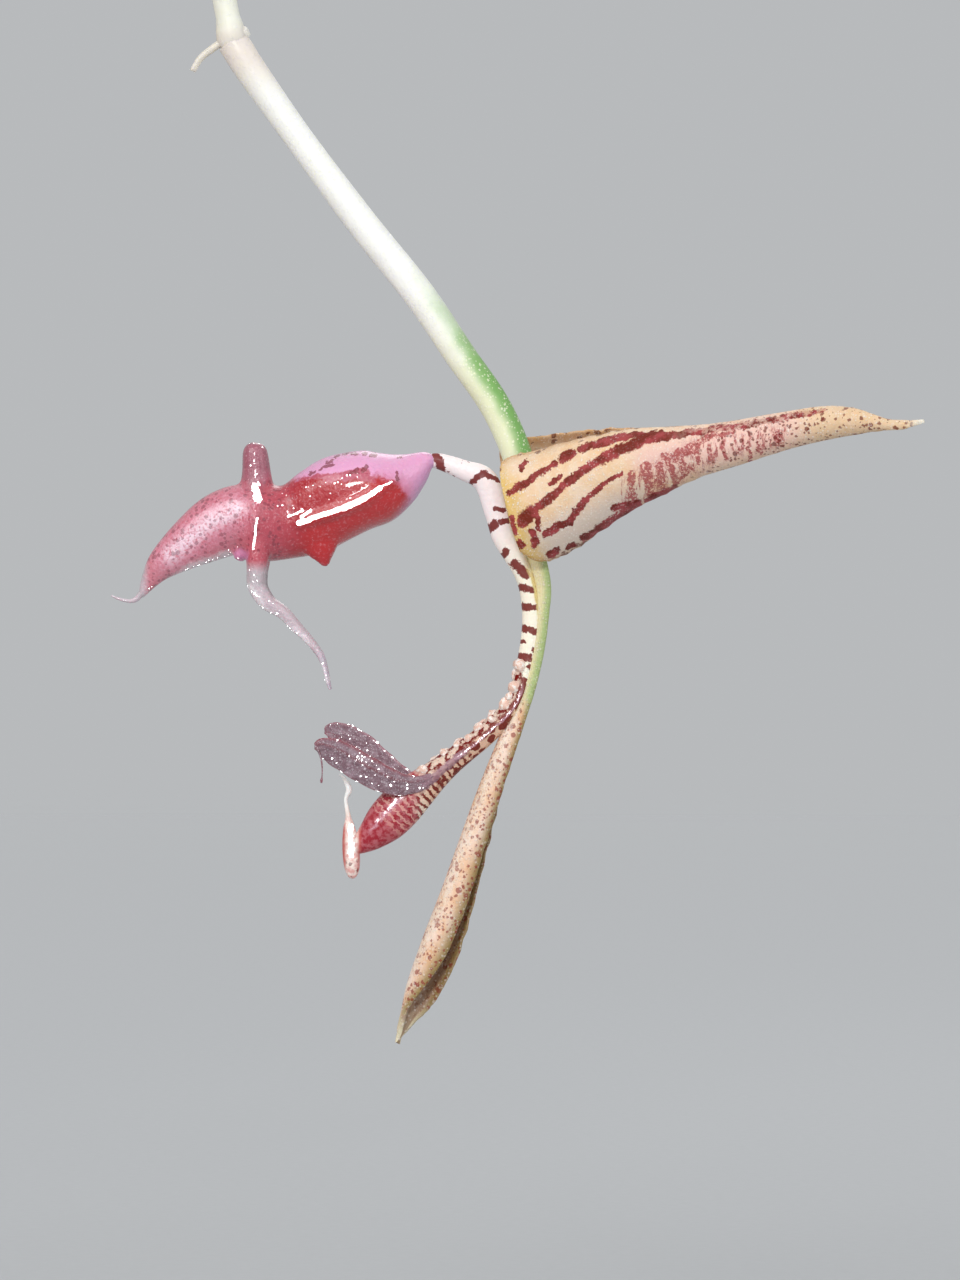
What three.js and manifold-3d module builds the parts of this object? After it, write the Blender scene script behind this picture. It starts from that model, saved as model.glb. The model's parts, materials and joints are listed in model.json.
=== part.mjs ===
// A gongora orchid in bloom, grown in a clay pot of coarse bark. A cluster of ribbed pseudobulbs carries
// pleated leaves, and one spray rises at the foot of the front bulb, arches over the rim and hangs its blooms
// beside the pot. Each bloom hangs upside down on a long stalk: the fleshy lip points back to the spray, two
// striped lateral sepals spread away from it, and the thin barred column curves down in front of the rolled
// dorsal sepal.
//
// Millimetres, +Z up. The origin is the centre of the pot's foot, and the spray arches towards +X.

import * as THREE from "three";
import { mergeVertices } from "three/addons/utils/BufferGeometryUtils.js";
import Module from "manifold-3d";

// Driving dimensions

const GAP = 0.3; // between two pieces that touch in life
const BLADE = 0.6; // thickness of sepals and petals

const POT_HEIGHT = 84;
const FOOT_RADIUS = 33;
const SHOULDER_RADIUS = 43.5; // under the rim band
const RIM_RADIUS = 48;
const RIM_HEIGHT = 16;
const RIM_EDGE = 1.5;
const POT_FLOOR = 5;
const BORE_FOOT = 28.5; // radius of the inside at its floor
const BORE_TOP = 43; // and at the rim
const DRAIN_RADIUS = 4;
const DRAIN_RING = 16; // from the pot's middle to a drain hole
const DRAINS = 4;
const POT_SIDES = 36;

const BARK_TOP = 73;
const CHIPS = 30;
const CHIP_SIZE = [12, 8, 5];
const CHIP_SEED = 11;

const BULB_SINK = 7; // how far a bulb stands in the bark
const CROWN = 0.31; // radius of the flat crown that carries the leaves, as a share of the bulb's
const RIBS = 7;
const RIB_DEPTH = 0.16;
const BULBS = [
  { name: "front", x: 12, y: -3, height: 52, radius: 11, turn: 0.2 },
  { name: "middle", x: -9, y: 8, height: 56, radius: 11.5, turn: 0.6 },
  { name: "rear", x: -28, y: -4, height: 48, radius: 10.5, turn: 0.1 },
  { name: "old", x: -10, y: -18, height: 40, radius: 10, turn: 0.4 },
];

const LEAF_THICKNESS = 0.9;
const PLEAT_DEPTH = 1.3;
const LEAF_SEAT = 2.3; // from the bulb's middle to the leaf's stalk
const LEAVES = [
  { bulb: "front", side: "left", azimuth: 68, length: 165, width: 40, rise: 84, fall: 8 },
  { bulb: "front", side: "right", azimuth: -72, length: 150, width: 38, rise: 82, fall: 12 },
  { bulb: "middle", side: "left", azimuth: 112, length: 175, width: 42, rise: 80, fall: 0 },
  { bulb: "middle", side: "right", azimuth: -20, length: 185, width: 40, rise: 88, fall: 42 },
  { bulb: "rear", side: "left", azimuth: 165, length: 160, width: 40, rise: 78, fall: -12 },
  { bulb: "rear", side: "right", azimuth: -75, length: 150, width: 36, rise: 80, fall: -8 },
];

const SPRAY_ROOT = [26, -8, BARK_TOP - 6];
const SPRAY_END = [130, 0, 96]; // where the last bloom hangs
const SPRAY_ROOT_RADIUS = 1.6;
const SPRAY_END_RADIUS = 0.75;
const ARCH_RADIUS = 75;
const END_LEAN = 10; // degrees from the vertical at the spray's end
const APEX_LEAN = 96; // and where the arch begins
const NODE_SWELL = 0.25; // added to the spray's radius where a bloom hangs
const NODE_REACH = 1.6; // and how far along the spray the swelling runs
const BRACT_LENGTH = 2.6;
const SHEATH_LENGTH = 9;
const SHEATHS = [0.2, 0.48, 0.76]; // shares of the way up the rising stem

// Blooms: along is the distance from the spray's end, azimuth the way the bloom faces, pitch its nod, and reach
// and drop stretch its stalk.
const STALK_REACH = 17.4; // from the spray out to the flower
const STALK_DROP = 25.6; // and down to it
const BLOOMS = [
  { along: 0, azimuth: 0, pitch: 0, reach: 1, drop: 1 },
  { along: 48, azimuth: 180, pitch: 0, reach: 1, drop: 1 },
  { along: 70, azimuth: -58, pitch: -4, reach: 1.2, drop: 0.9 },
  { along: 93, azimuth: 78, pitch: -3, reach: 1.15, drop: 0.95 },
  { along: 110, azimuth: -100, pitch: -2, reach: 1.1, drop: 1 },
];

const FULL_TURN = 2 * Math.PI;
const ALONG_Y = new THREE.Vector3(0, 1, 0);
const UPWARDS = new THREE.Vector3(0, 0, 1);
const radians = THREE.MathUtils.degToRad;

// Colours

function finish(color, roughness) {
  return new THREE.MeshStandardMaterial({ color, roughness, metalness: 0 });
}

const CLAY = finish(0xb4633f, 0.85);
const BARK = finish(0x5a3d28, 0.95);
const BULB = finish(0x6f8440, 0.55);
const LEAF = finish(0x3f6b2c, 0.5);
const STALK = finish(0xcfd8a0, 0.5);
const SEPAL = finish(0xd9a878, 0.5);
const COLUMN = finish(0xe3c9b4, 0.45);
const PETAL = finish(0x8a6a78, 0.4);
const LIP = finish(0xc23a50, 0.3);

// Sections along a path, and the skin over them

function moved(point, ...steps) {
  const result = point.clone();
  for (const [direction, distance] of steps) result.addScaledVector(direction, distance);
  return result;
}

// The unit vector that heads out level at an azimuth in radians.
function level(azimuth) {
  return new THREE.Vector3(Math.cos(azimuth), Math.sin(azimuth), 0);
}

// At each point of a path: across it, and out of it as near to facing as a right angle to the path allows.
function framesAlong(points, facing) {
  return points.map((at, i) => {
    const ahead = points[Math.min(i + 1, points.length - 1)];
    const behind = points[Math.max(i - 1, 0)];
    const along = ahead.clone().sub(behind).normalize();
    const across = along.clone().cross(facing).normalize();
    return { at, across, out: across.clone().cross(along) };
  });
}

// The frame turned about its path.
function rolled({ at, across, out }, angle) {
  const [c, s] = [Math.cos(angle), Math.sin(angle)];
  const still = new THREE.Vector3();
  return { at, across: moved(still, [across, c], [out, s]), out: moved(still, [out, c], [across, -s]) };
}

// An oval section. Above 2, the exponent squares its corners off.
function ovalSection({ at, across, out }, halfAcross, halfOut, sides, exponent = 2) {
  const bulge = (value) => Math.sign(value) * Math.abs(value) ** (2 / exponent);
  return Array.from({ length: sides }, (_, k) => {
    const angle = ((k + 0.5) / sides) * FULL_TURN;
    return moved(at, [across, halfAcross * bulge(Math.cos(angle))], [out, halfOut * bulge(Math.sin(angle))]);
  });
}

// A blade's section: width from edge to edge along its middle, bent through the angle curl with its outer face
// rounded, and lifted by fold, a function of -1 to 1 across it.
function bladeSection({ at, across, out }, width, curl, thickness, strips, fold = () => 0) {
  const radius = width / curl;
  const face = (side) =>
    Array.from({ length: strips + 1 }, (_, k) => {
      const share = (2 * k) / strips - 1;
      const angle = (share * curl) / 2;
      const lift = fold(share) + (side * thickness) / 2;
      const sideways = (radius + lift) * Math.sin(angle);
      return moved(at, [across, sideways], [out, (radius + lift) * Math.cos(angle) - radius]);
    });
  return [...face(1), ...face(-1).reverse()];
}

// A closed skin over sections that all have the same, even number of points. Both faces of a blade are split
// alike, so they can't cross where it twists.
function skin(sections) {
  const size = sections[0].length;
  const faces = [];
  for (let start = 0; start < (sections.length - 1) * size; start += size)
    for (let k = 0; k < size; k++) {
      const next = (k + 1) % size;
      const [a, b, c, d] = [start + k, start + next, start + size + next, start + size + k];
      faces.push(...(k < size / 2 ? [a, b, c, a, c, d] : [a, b, d, b, c, d]));
    }
  const end = (sections.length - 1) * size;
  for (let k = 0; k < size / 2 - 1; k++) {
    const [a, b, c, d] = [k, k + 1, size - 2 - k, size - 1 - k];
    faces.push(a, c, b, a, d, c);
    faces.push(end + a, end + b, end + c, end + a, end + c, end + d);
  }
  const geometry = new THREE.BufferGeometry();
  const numbers = sections.flat().flatMap((point) => point.toArray());
  geometry.setAttribute("position", new THREE.Float32BufferAttribute(numbers, 3));
  geometry.setIndex(faces);
  return facingOut(geometry);
}

function facingOut(geometry) {
  const place = geometry.getAttribute("position");
  const index = geometry.index.array;
  const corner = (i) => new THREE.Vector3().fromBufferAttribute(place, index[i]);
  let volume = 0;
  for (let i = 0; i < index.length; i += 3) volume += corner(i).dot(corner(i + 1).cross(corner(i + 2)));
  if (volume < 0)
    for (let i = 0; i < index.length; i += 3) [index[i], index[i + 1]] = [index[i + 1], index[i]];
  return geometry;
}

// A stem in the plane y = 0, through stations of [x, z, half thickness in the plane, half thickness across it].
function stem(stations, sides, exponent) {
  const frames = framesAlong(inPlane(stations), ALONG_Y);
  const sections = stations.map(([, , half, halfAcross = half], i) =>
    ovalSection(frames[i], half, halfAcross, sides, exponent),
  );
  return skin(sections);
}

function inPlane(stations) {
  return stations.map(([x, z]) => new THREE.Vector3(x, 0, z));
}

// Joining and cutting

const wasm = await Module();
wasm.setup();

// A geometry with its points merged and nothing on them but their place.
function bare(geometry) {
  const plain = new THREE.BufferGeometry();
  plain.setAttribute("position", geometry.getAttribute("position"));
  plain.setIndex(geometry.index);
  return mergeVertices(plain, 1e-4);
}

function solid(geometry) {
  const { attributes, index } = bare(geometry);
  const triVerts = new Uint32Array(index.array);
  return new wasm.Manifold(
    new wasm.Mesh({ numProp: 3, vertProperties: attributes.position.array, triVerts }),
  );
}

function joined(geometries) {
  return geometries.map(solid).reduce((whole, part) => whole.add(part));
}

function geometryOf(body) {
  const mesh = body.getMesh();
  const geometry = new THREE.BufferGeometry();
  geometry.setAttribute("position", new THREE.BufferAttribute(mesh.vertProperties.slice(), 3));
  geometry.setIndex([...mesh.triVerts]);
  return geometry;
}

function piece(name, geometry, material) {
  geometry.computeVertexNormals();
  const mesh = new THREE.Mesh(geometry, material);
  mesh.name = name;
  return mesh;
}

// Pot

function boreRadius(z) {
  return BORE_FOOT + ((BORE_TOP - BORE_FOOT) * (z - POT_FLOOR)) / (POT_HEIGHT - POT_FLOOR);
}

// A solid of revolution about the pot's axis, from [radius, z] points that start and end on it.
function turned(profile) {
  const points = profile.map(([radius, z]) => new THREE.Vector2(radius, z));
  return new THREE.LatheGeometry(points, POT_SIDES).rotateX(Math.PI / 2);
}

// A cutter for an upright round hole, from z down to z - depth.
function drill(x, y, z, radius, depth, sides) {
  const cutter = new THREE.CylinderGeometry(radius, radius, depth, sides).rotateX(Math.PI / 2);
  return solid(cutter.translate(x, y, z - depth / 2));
}

function pot() {
  const profile = [
    [0, 0],
    [FOOT_RADIUS, 0],
    [SHOULDER_RADIUS, POT_HEIGHT - RIM_HEIGHT],
    [RIM_RADIUS - RIM_EDGE, POT_HEIGHT - RIM_HEIGHT],
    [RIM_RADIUS, POT_HEIGHT - RIM_EDGE],
    [RIM_RADIUS - RIM_EDGE, POT_HEIGHT],
    [BORE_TOP, POT_HEIGHT],
    [BORE_FOOT, POT_FLOOR],
    [0, POT_FLOOR],
  ];
  let body = solid(turned(profile));
  for (let k = 0; k < DRAINS; k++) {
    const { x, y } = level(((k + 0.5) / DRAINS) * FULL_TURN).multiplyScalar(DRAIN_RING);
    body = body.subtract(drill(x, y, 2 * POT_FLOOR, DRAIN_RADIUS, 3 * POT_FLOOR, 10));
  }
  return piece("pot", geometryOf(body), CLAY);
}

// Bark: it fills the pot to a little under the rim, and loose chips of it lie on top

function seeded(seed) {
  let state = seed;
  return () => {
    state = (state * 1664525 + 1013904223) % 4294967296;
    return state / 4294967296;
  };
}

// A box with its corners knocked about.
function chip(random) {
  const chunk = bare(new THREE.BoxGeometry(...CHIP_SIZE));
  const place = chunk.getAttribute("position");
  for (let i = 0; i < place.count; i++) {
    const [x, y, z] = [place.getX(i), place.getY(i), place.getZ(i)];
    place.setXYZ(i, x * (0.7 + 0.6 * random()), y * (0.6 + 0.7 * random()), z * (0.7 + 0.5 * random()));
  }
  return chunk;
}

function bark() {
  const random = seeded(CHIP_SEED);
  const reach = (z) => boreRadius(z) - GAP;
  const bottom = POT_FLOOR + GAP;
  const fill = turned([
    [0, bottom],
    [reach(bottom), bottom],
    [reach(BARK_TOP), BARK_TOP],
    [0, BARK_TOP],
  ]);
  const within = turned([
    [0, 0],
    [reach(0), 0],
    [reach(POT_HEIGHT), POT_HEIGHT],
    [0, POT_HEIGHT],
  ]);
  const chips = Array.from({ length: CHIPS }, (_, k) => {
    const radius = (reach(BARK_TOP) - 3) * Math.sqrt((k + 0.5) / CHIPS);
    const angle = 2.4 * k + random();
    const tilt = () => 0.5 * (random() - 0.5);
    const chunk = chip(random).rotateX(tilt()).rotateY(tilt()).rotateZ(FULL_TURN * random());
    return chunk.translate(radius * Math.cos(angle), radius * Math.sin(angle), BARK_TOP + 1.2 * random());
  });
  let body = joined([fill, ...chips]).intersect(solid(within));
  const depth = POT_HEIGHT - BARK_TOP + GAP;
  for (const { x, y, radius } of BULBS)
    body = body.subtract(drill(x, y, POT_HEIGHT, radius + GAP, depth + BULB_SINK, 16));
  const [x, y, z] = SPRAY_ROOT;
  body = body.subtract(drill(x, y, POT_HEIGHT, SPRAY_ROOT_RADIUS + 2 * GAP, depth + BARK_TOP - z, 10));
  const [largest] = body.decompose().sort((a, b) => b.volume() - a.volume());
  return piece("bark", geometryOf(largest), BARK);
}

// Pseudobulbs: egg-shaped, with ribs from the foot to the flat crown

const BULB_OUTLINE = [0.62, 0.9, 1, 1, 0.92, 0.76, 0.54, CROWN]; // shares of the radius, from foot to crown

function pseudobulb({ name, x, y, height, radius, turn }) {
  const sides = 2 * RIBS;
  const top = BULB_OUTLINE.length - 1;
  const sections = BULB_OUTLINE.map((share, row) => {
    const ribbing = RIB_DEPTH * Math.sin(Math.PI * Math.min(1, (1.15 * row) / top));
    const at = new THREE.Vector3(x, y, BARK_TOP - BULB_SINK + (height * row) / top);
    return Array.from({ length: sides }, (_, k) => {
      const groove = k % 2 ? 1 - ribbing : 1;
      return moved(at, [level((k / sides) * FULL_TURN + turn), radius * share * groove]);
    });
  });
  return piece(`pseudobulb_${name}`, skin(sections), BULB);
}

// Leaves: on narrow stalks that stand on the crowns, opening into long pleated blades that arch over

const LEAF_OUTLINE = [0.11, 0.12, 0.28, 0.66, 0.94, 1, 0.86, 0.52, 0.06]; // shares of the width, to the tip
const LEAF_STRIPS = 6;

function leaf({ bulb, side, azimuth, length, width, rise, fall }) {
  const { x, y, height } = BULBS.find(({ name }) => name === bulb);
  const outward = level(radians(azimuth));
  const sideways = level(radians(azimuth + 90));
  const step = length / (LEAF_OUTLINE.length - 1);
  const points = [];
  const dip = LEAF_THICKNESS * Math.cos(radians(rise)); // of the tilted foot's outer edge
  let at = moved(new THREE.Vector3(x, y, BARK_TOP - BULB_SINK + height + GAP + dip), [outward, LEAF_SEAT]);
  for (let k = 0; k < LEAF_OUTLINE.length; k++) {
    points.push(at);
    const share = ((k + 0.5) * step) / length;
    const slope = radians(rise + (fall - rise) * share ** 1.4);
    at = moved(at, [outward, step * Math.cos(slope)], [UPWARDS, step * Math.sin(slope)]);
  }
  const sections = framesAlong(points, sideways).map((frame, k) => {
    const share = LEAF_OUTLINE[k];
    const depth = PLEAT_DEPTH * Math.min(1, 1.6 * share);
    const pleats = (across) => (Math.round(Math.abs(across) * (LEAF_STRIPS / 2)) % 2 ? depth : -depth) / 2;
    const channel = -0.5 - 0.9 * (1 - share);
    const upper = rolled(frame, -Math.PI / 2);
    return bladeSection(upper, width * share, channel, LEAF_THICKNESS, LEAF_STRIPS, pleats);
  });
  return piece(`leaf_${bulb}_${side}`, skin(sections), LEAF);
}

// Spray: it rises at the foot of the front bulb, and from its highest point follows an arc down to its end

const ARCH_LENGTH = ARCH_RADIUS * radians(APEX_LEAN - END_LEAN);

// The spray at a distance from its end: the point, and the direction back towards the root.
function archAt(distance) {
  const lean = radians(END_LEAN) + distance / ARCH_RADIUS;
  const end = new THREE.Vector3(...SPRAY_END);
  const across = ARCH_RADIUS * (Math.cos(lean) - Math.cos(radians(END_LEAN)));
  const up = ARCH_RADIUS * (Math.sin(lean) - Math.sin(radians(END_LEAN)));
  const back = new THREE.Vector3(-Math.sin(lean), 0, Math.cos(lean));
  return { at: end.add(new THREE.Vector3(across, 0, up)), back };
}

const APEX = archAt(ARCH_LENGTH);
const ROOT = new THREE.Vector3(...SPRAY_ROOT);
const RISING = new THREE.CubicBezierCurve3(
  ROOT,
  moved(ROOT, [UPWARDS, 46]),
  moved(APEX.at, [APEX.back, 17]),
  APEX.at,
);
const SPRAY_LENGTH = ARCH_LENGTH + RISING.getLength();

function sprayRadius(distance) {
  return SPRAY_END_RADIUS + ((SPRAY_ROOT_RADIUS - SPRAY_END_RADIUS) * distance) / SPRAY_LENGTH;
}

function spray() {
  const nodes = BLOOMS.map(({ along }) => along);
  const swollen = nodes.flatMap((along) => [along - NODE_REACH, along, along + NODE_REACH]);
  const marks = Array.from({ length: 12 }, (_, k) => 10 * k);
  const plain = marks.filter((mark) => nodes.every((along) => Math.abs(along - mark) > 2 * NODE_REACH));
  const stops = [...swollen, ...plain].filter((mark) => mark >= 0 && mark < ARCH_LENGTH).sort((a, b) => a - b);
  const rising = RISING.getSpacedPoints(10).reverse();
  const points = [...stops.map((mark) => archAt(mark).at), ...rising];
  const rise = (k) => ARCH_LENGTH + (RISING.getLength() * k) / (rising.length - 1);
  const radii = [
    ...stops.map((mark) => sprayRadius(mark) + (nodes.includes(mark) ? NODE_SWELL : 0)),
    ...rising.map((_, k) => sprayRadius(rise(k))),
  ];
  const frames = framesAlong(points, ALONG_Y);
  const shaft = skin(frames.map((frame, i) => ovalSection(frame, radii[i], radii[i], 6)));
  const whole = joined([shaft, ...SHEATHS.map(sheath), ...BLOOMS.map(bract)]);
  return piece("flower_spray", geometryOf(whole), STALK);
}

// A papery scale that clasps the rising stem and stands off it at its tip. [share of length, width, stand-off]
const SHEATH_OUTLINE = [
  [-0.3, 2.4, 0.4],
  [0.15, 3.6, 0.7],
  [0.6, 2.6, 1.3],
  [1, 0.7, 2.1],
];

function sheath(share) {
  const away = new THREE.Vector3(0, -1, 0);
  const along = RISING.getTangentAt(share);
  const points = SHEATH_OUTLINE.map(([part, , stand]) =>
    moved(RISING.getPointAt(share), [along, part * SHEATH_LENGTH], [away, stand]),
  );
  const frames = framesAlong(points, away);
  return skin(frames.map((frame, i) => bladeSection(frame, SHEATH_OUTLINE[i][1], 1.8, BLADE, 4)));
}

// The small bract on the side of a node away from its bloom. [share of length, how far down, half thickness]
const BRACT_OUTLINE = [
  [0.1, 0, 0.45],
  [0.5, 0.1, 0.4],
  [1, 0.5, 0.25],
];

function bract({ along, azimuth }) {
  const away = level(radians(azimuth + 180));
  const points = BRACT_OUTLINE.map(([out, drop]) =>
    moved(archAt(along).at, [away, out * BRACT_LENGTH], [UPWARDS, -drop * BRACT_LENGTH]),
  );
  const frames = framesAlong(points, level(radians(azimuth + 90)));
  return skin(frames.map((frame, i) => ovalSection(frame, BRACT_OUTLINE[i][2], BRACT_OUTLINE[i][2], 4)));
}

// Blooms. Each is built round the point where its stalk meets the flower, with X away from the spray, left at
// +Y and the flower's plane of symmetry at y = 0. Stations are [x, z, ...] in that plane, from one end of an
// organ to the other.

const STALK_STATIONS = [
  [-13.2, 19.5, 0.88],
  [-9.4, 14.4, 0.92],
  [-5.8, 9.9, 0.92],
  [-2.7, 5.2, 0.92],
  [-0.65, 1.8, 0.95],
  [0.4, -1.1, 0.92],
  [1.35, -4, 0.78],
  [1.72, -6, 0.62],
];
const STALK_ROOT_RADIUS = 0.8;

// Above the flower, the stalk is stretched to the bloom's own reach and drop. It starts clear of the spray:
// beside it, or past its end where the last bloom hangs. Back is the spray's direction in the bloom's frame.
function stalk({ along, reach, drop }, back) {
  const line = STALK_STATIONS.map(([x, z, half]) => [x < 0 ? x * reach : x, z > 0 ? z * drop : z, half]);
  const node = new THREE.Vector3(-STALK_REACH * reach, 0, STALK_DROP * drop);
  const heading = new THREE.Vector3(line[0][0], 0, line[0][1]).sub(node).normalize();
  const cosine = Math.abs(heading.dot(back));
  const sine = Math.sqrt(1 - cosine ** 2);
  const swollen = sprayRadius(along) + NODE_SWELL;
  const beside = (swollen + GAP + STALK_ROOT_RADIUS * cosine) / sine;
  const below = swollen * sine + GAP;
  const start = moved(node, [heading, along === 0 ? below : beside]);
  return stem([[start.x, start.z, STALK_ROOT_RADIUS], ...line], 6);
}

// Lateral sepals: broad striped blades rolled into half cones, spread to both sides. [x, z, height, curl in
// degrees]
const LATERAL_STATIONS = [
  [0.1, -3.4, 6.4, 140],
  [2.3, -2.9, 7.1, 150],
  [5.3, -1.8, 6.05, 170],
  [8.4, -0.8, 4.5, 190],
  [12, 0, 3.35, 210],
  [15.9, 0.9, 2.75, 220],
  [19.7, 1.5, 2.2, 215],
  [22.2, 1.55, 1.3, 150],
  [24.7, 1.65, 0.7, 40],
];
const LATERAL_SEAT = 3.4; // the midrib's distance from the plane of symmetry at its root
const LATERAL_SPREAD = 18; // degrees
const LATERAL_LIFT = 0.5; // of the left sepal's root above the right one's

function lateralSepal(side) {
  const spread = Math.tan(radians(LATERAL_SPREAD));
  const points = LATERAL_STATIONS.map(([x, z], i) => {
    const lift = side > 0 ? LATERAL_LIFT * (1 - i / (LATERAL_STATIONS.length - 1)) : 0;
    return new THREE.Vector3(x, side * (LATERAL_SEAT + x * spread), z + lift);
  });
  const frames = framesAlong(points, new THREE.Vector3(-spread, side, 0).normalize());
  const sections = LATERAL_STATIONS.map(([, , height, degrees], i) => {
    const curl = radians(degrees);
    const radius = (height - BLADE) / 2 / Math.sin(Math.min(curl / 2, Math.PI / 2));
    return bladeSection(frames[i], Math.max(radius * curl, 0.4), curl, BLADE, 6);
  });
  return skin(sections);
}

// Dorsal sepal: keeled where it runs down the column's back, then free, with its edges rolled back until they
// nearly meet. [x, z, depth of the roll about that point, curl in degrees]
const DORSAL_STATIONS = [
  [1.98, -6.75, 0.8, 100],
  [2.38, -9.2, 0.8, 100],
  [2.15, -12, 0.8, 100],
  [1.3, -15.3, 1, 130],
  [0, -18.1, 1.4, 190],
  [-1.2, -21.1, 1.7, 240],
  [-2.4, -24.3, 1.95, 260],
  [-3.5, -27.7, 2.25, 275],
  [-4.55, -30.7, 2.35, 275],
  [-5.75, -33.3, 1.7, 230],
  [-7.15, -36.4, 0.7, 50],
];
const DORSAL_TWIST = 25; // degrees that the slit between the edges is turned sideways

function dorsalSepal() {
  const frames = framesAlong(inPlane(DORSAL_STATIONS), ALONG_Y);
  const sections = DORSAL_STATIONS.map(([, , depth, degrees], i) => {
    const curl = radians(degrees);
    const radius = (depth - BLADE) / (1 - Math.cos(curl / 2));
    const twist = DORSAL_TWIST * Math.min(1, i / 5);
    const frame = rolled(frames[i], radians(90 - twist));
    frame.at = moved(frame.at, [frame.out, (depth - BLADE) / 2]);
    return bladeSection(frame, radius * curl, curl, BLADE, 6);
  });
  return skin(sections);
}

// Column: the foot that holds the lip, the thin column and its club-shaped head, with the anther cap and its
// thread. [x, z, half thickness in the plane, half thickness across it]
const COLUMN_STATIONS = [
  [-4.6, -0.37, 0.4, 0.4],
  [-3.04, -0.93, 0.55, 0.5],
  [-1.75, -1.62, 0.68, 0.58],
  [-1.18, -3.53, 0.62, 0.6],
  [-0.22, -5.89, 0.6, 0.62],
  [0.68, -7.75, 0.55, 0.6],
  [1, -9.9, 0.6, 0.6],
  [0.62, -12.5, 0.6, 0.6],
  [-0.2, -14.8, 0.57, 0.6],
  [-2, -17.4, 0.67, 0.7],
  [-4.5, -19.4, 0.92, 0.8],
  [-6.75, -21.5, 1.38, 1],
  [-8.5, -23.5, 1.1, 0.9],
  [-10.05, -24.5, 0.35, 0.35],
];
const ANTHER_STATIONS = [
  [-10.5, -19.9, 0.25],
  [-10.22, -22.4, 0.27],
  [-10.17, -23.8, 0.47],
  [-10.1, -25, 0.53],
  [-10.04, -26.3, 0.25],
];

function column() {
  return geometryOf(joined([stem(COLUMN_STATIONS, 6), stem(ANTHER_STATIONS, 6)]));
}

// Petals: small thin blades on the sides of the column's head. [x, z, distance from the middle plane, width]
const PETAL_STATIONS = [
  [-6.3, -20.85, 1.7, 1.5],
  [-7.9, -19.7, 1.95, 2.1],
  [-9.9, -18.45, 2.3, 2.15],
  [-11.4, -17.8, 2.7, 1.45],
  [-12.2, -17.7, 2.95, 0.6],
];
const PETAL_LIFT = 0.8; // of the left petal's tip above the right one's

function petal(side) {
  const points = PETAL_STATIONS.map(([x, z, y], i) => {
    const lift = side > 0 ? PETAL_LIFT * Math.min(1, i / 2) : 0;
    return new THREE.Vector3(x, side * y, z + lift);
  });
  const frames = framesAlong(points, ALONG_Y.clone().multiplyScalar(side));
  return skin(frames.map((frame, i) => bladeSection(frame, PETAL_STATIONS[i][3], 0.9, BLADE, 3)));
}

// Lip: a deep fleshy body with a waist and a hooked tip that ends in a thread, one blunt horn above, and below
// it two long bristles, two teeth and two small knobs. [x, z, half height, half width]
const LIP_STATIONS = [
  [-5.2, -0.42, 0.42, 0.4],
  [-6.1, -1.05, 1.3, 1.35],
  [-7.4, -1.75, 1.98, 2.2],
  [-9.2, -2.15, 2.45, 2.7],
  [-10.8, -2.68, 2.62, 2.65],
  [-12.4, -3.6, 2.45, 2.15],
  [-13.9, -4.12, 2.25, 1.8],
  [-15.9, -4.25, 2.45, 2.75],
  [-17.5, -4.09, 2.1, 1.9],
  [-19.2, -4.85, 2, 1.6],
  [-20.8, -5.8, 1.65, 1.3],
  [-22.13, -7.04, 0.98, 0.85],
  [-23.2, -8.8, 0.28, 0.28],
  [-24.9, -8.75, 0.25, 0.25],
];
const HORN_STATIONS = [
  [-15.9, -3.2, 1.3],
  [-15.88, -1.75, 1.08],
  [-15.9, -0.6, 0.85],
  [-16, 0.4, 0.68],
  [-16, 0.8, 0.3],
];
const BRISTLE_STATIONS = [
  [-15.85, -5.6, 0.8],
  [-15.8, -7.9, 0.6],
  [-14.6, -9.6, 0.46],
  [-12.7, -11.6, 0.33],
  [-11.32, -14.55, 0.25],
];
const TOOTH_STATIONS = [
  [-11.75, -4.4, 1.2],
  [-11.7, -5.9, 0.75],
  [-11.62, -7.05, 0.25],
];
const KNOB_RADIUS = 0.48;
const KNOB = [-16.85, 0.85, -6.05];
const BRISTLE_SEAT = 1.5; // from the plane of symmetry
const TOOTH_SEAT = 1.15;

function lip() {
  const body = stem(LIP_STATIONS, 8, 2.4);
  const pairs = [-1, 1].flatMap((side) => [
    stem(BRISTLE_STATIONS, 6).translate(0, side * BRISTLE_SEAT, 0),
    stem(TOOTH_STATIONS, 4).translate(0, side * TOOTH_SEAT, 0),
    bare(new THREE.OctahedronGeometry(KNOB_RADIUS)).translate(KNOB[0], side * KNOB[1], KNOB[2]),
  ]);
  return geometryOf(joined([body, stem(HORN_STATIONS, 6), ...pairs]));
}

function bloom(place, index) {
  const { along, azimuth, pitch, reach, drop } = place;
  const { at, back } = archAt(along);
  const hanger = new THREE.Group();
  hanger.position.copy(at);
  hanger.rotation.set(0, radians(pitch), radians(azimuth), "ZYX");
  const flower = new THREE.Group();
  flower.position.set(STALK_REACH * reach, 0, -STALK_DROP * drop);
  hanger.add(flower);
  const name = `bloom_${index + 1}`;
  const backInFrame = back.applyQuaternion(hanger.quaternion.clone().invert());
  flower.add(
    piece(`${name}_stalk`, stalk(place, backInFrame), STALK),
    piece(`${name}_lateral_sepal_left`, lateralSepal(1), SEPAL),
    piece(`${name}_lateral_sepal_right`, lateralSepal(-1), SEPAL),
    piece(`${name}_dorsal_sepal`, dorsalSepal(), SEPAL),
    piece(`${name}_column`, column(), COLUMN),
    piece(`${name}_petal_left`, petal(1), PETAL),
    piece(`${name}_petal_right`, petal(-1), PETAL),
    piece(`${name}_lip`, lip(), LIP),
  );
  return hanger;
}

const plant = new THREE.Group();
plant.add(pot(), bark(), ...BULBS.map(pseudobulb), ...LEAVES.map(leaf), spray(), ...BLOOMS.map(bloom));

export default plant;
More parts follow.
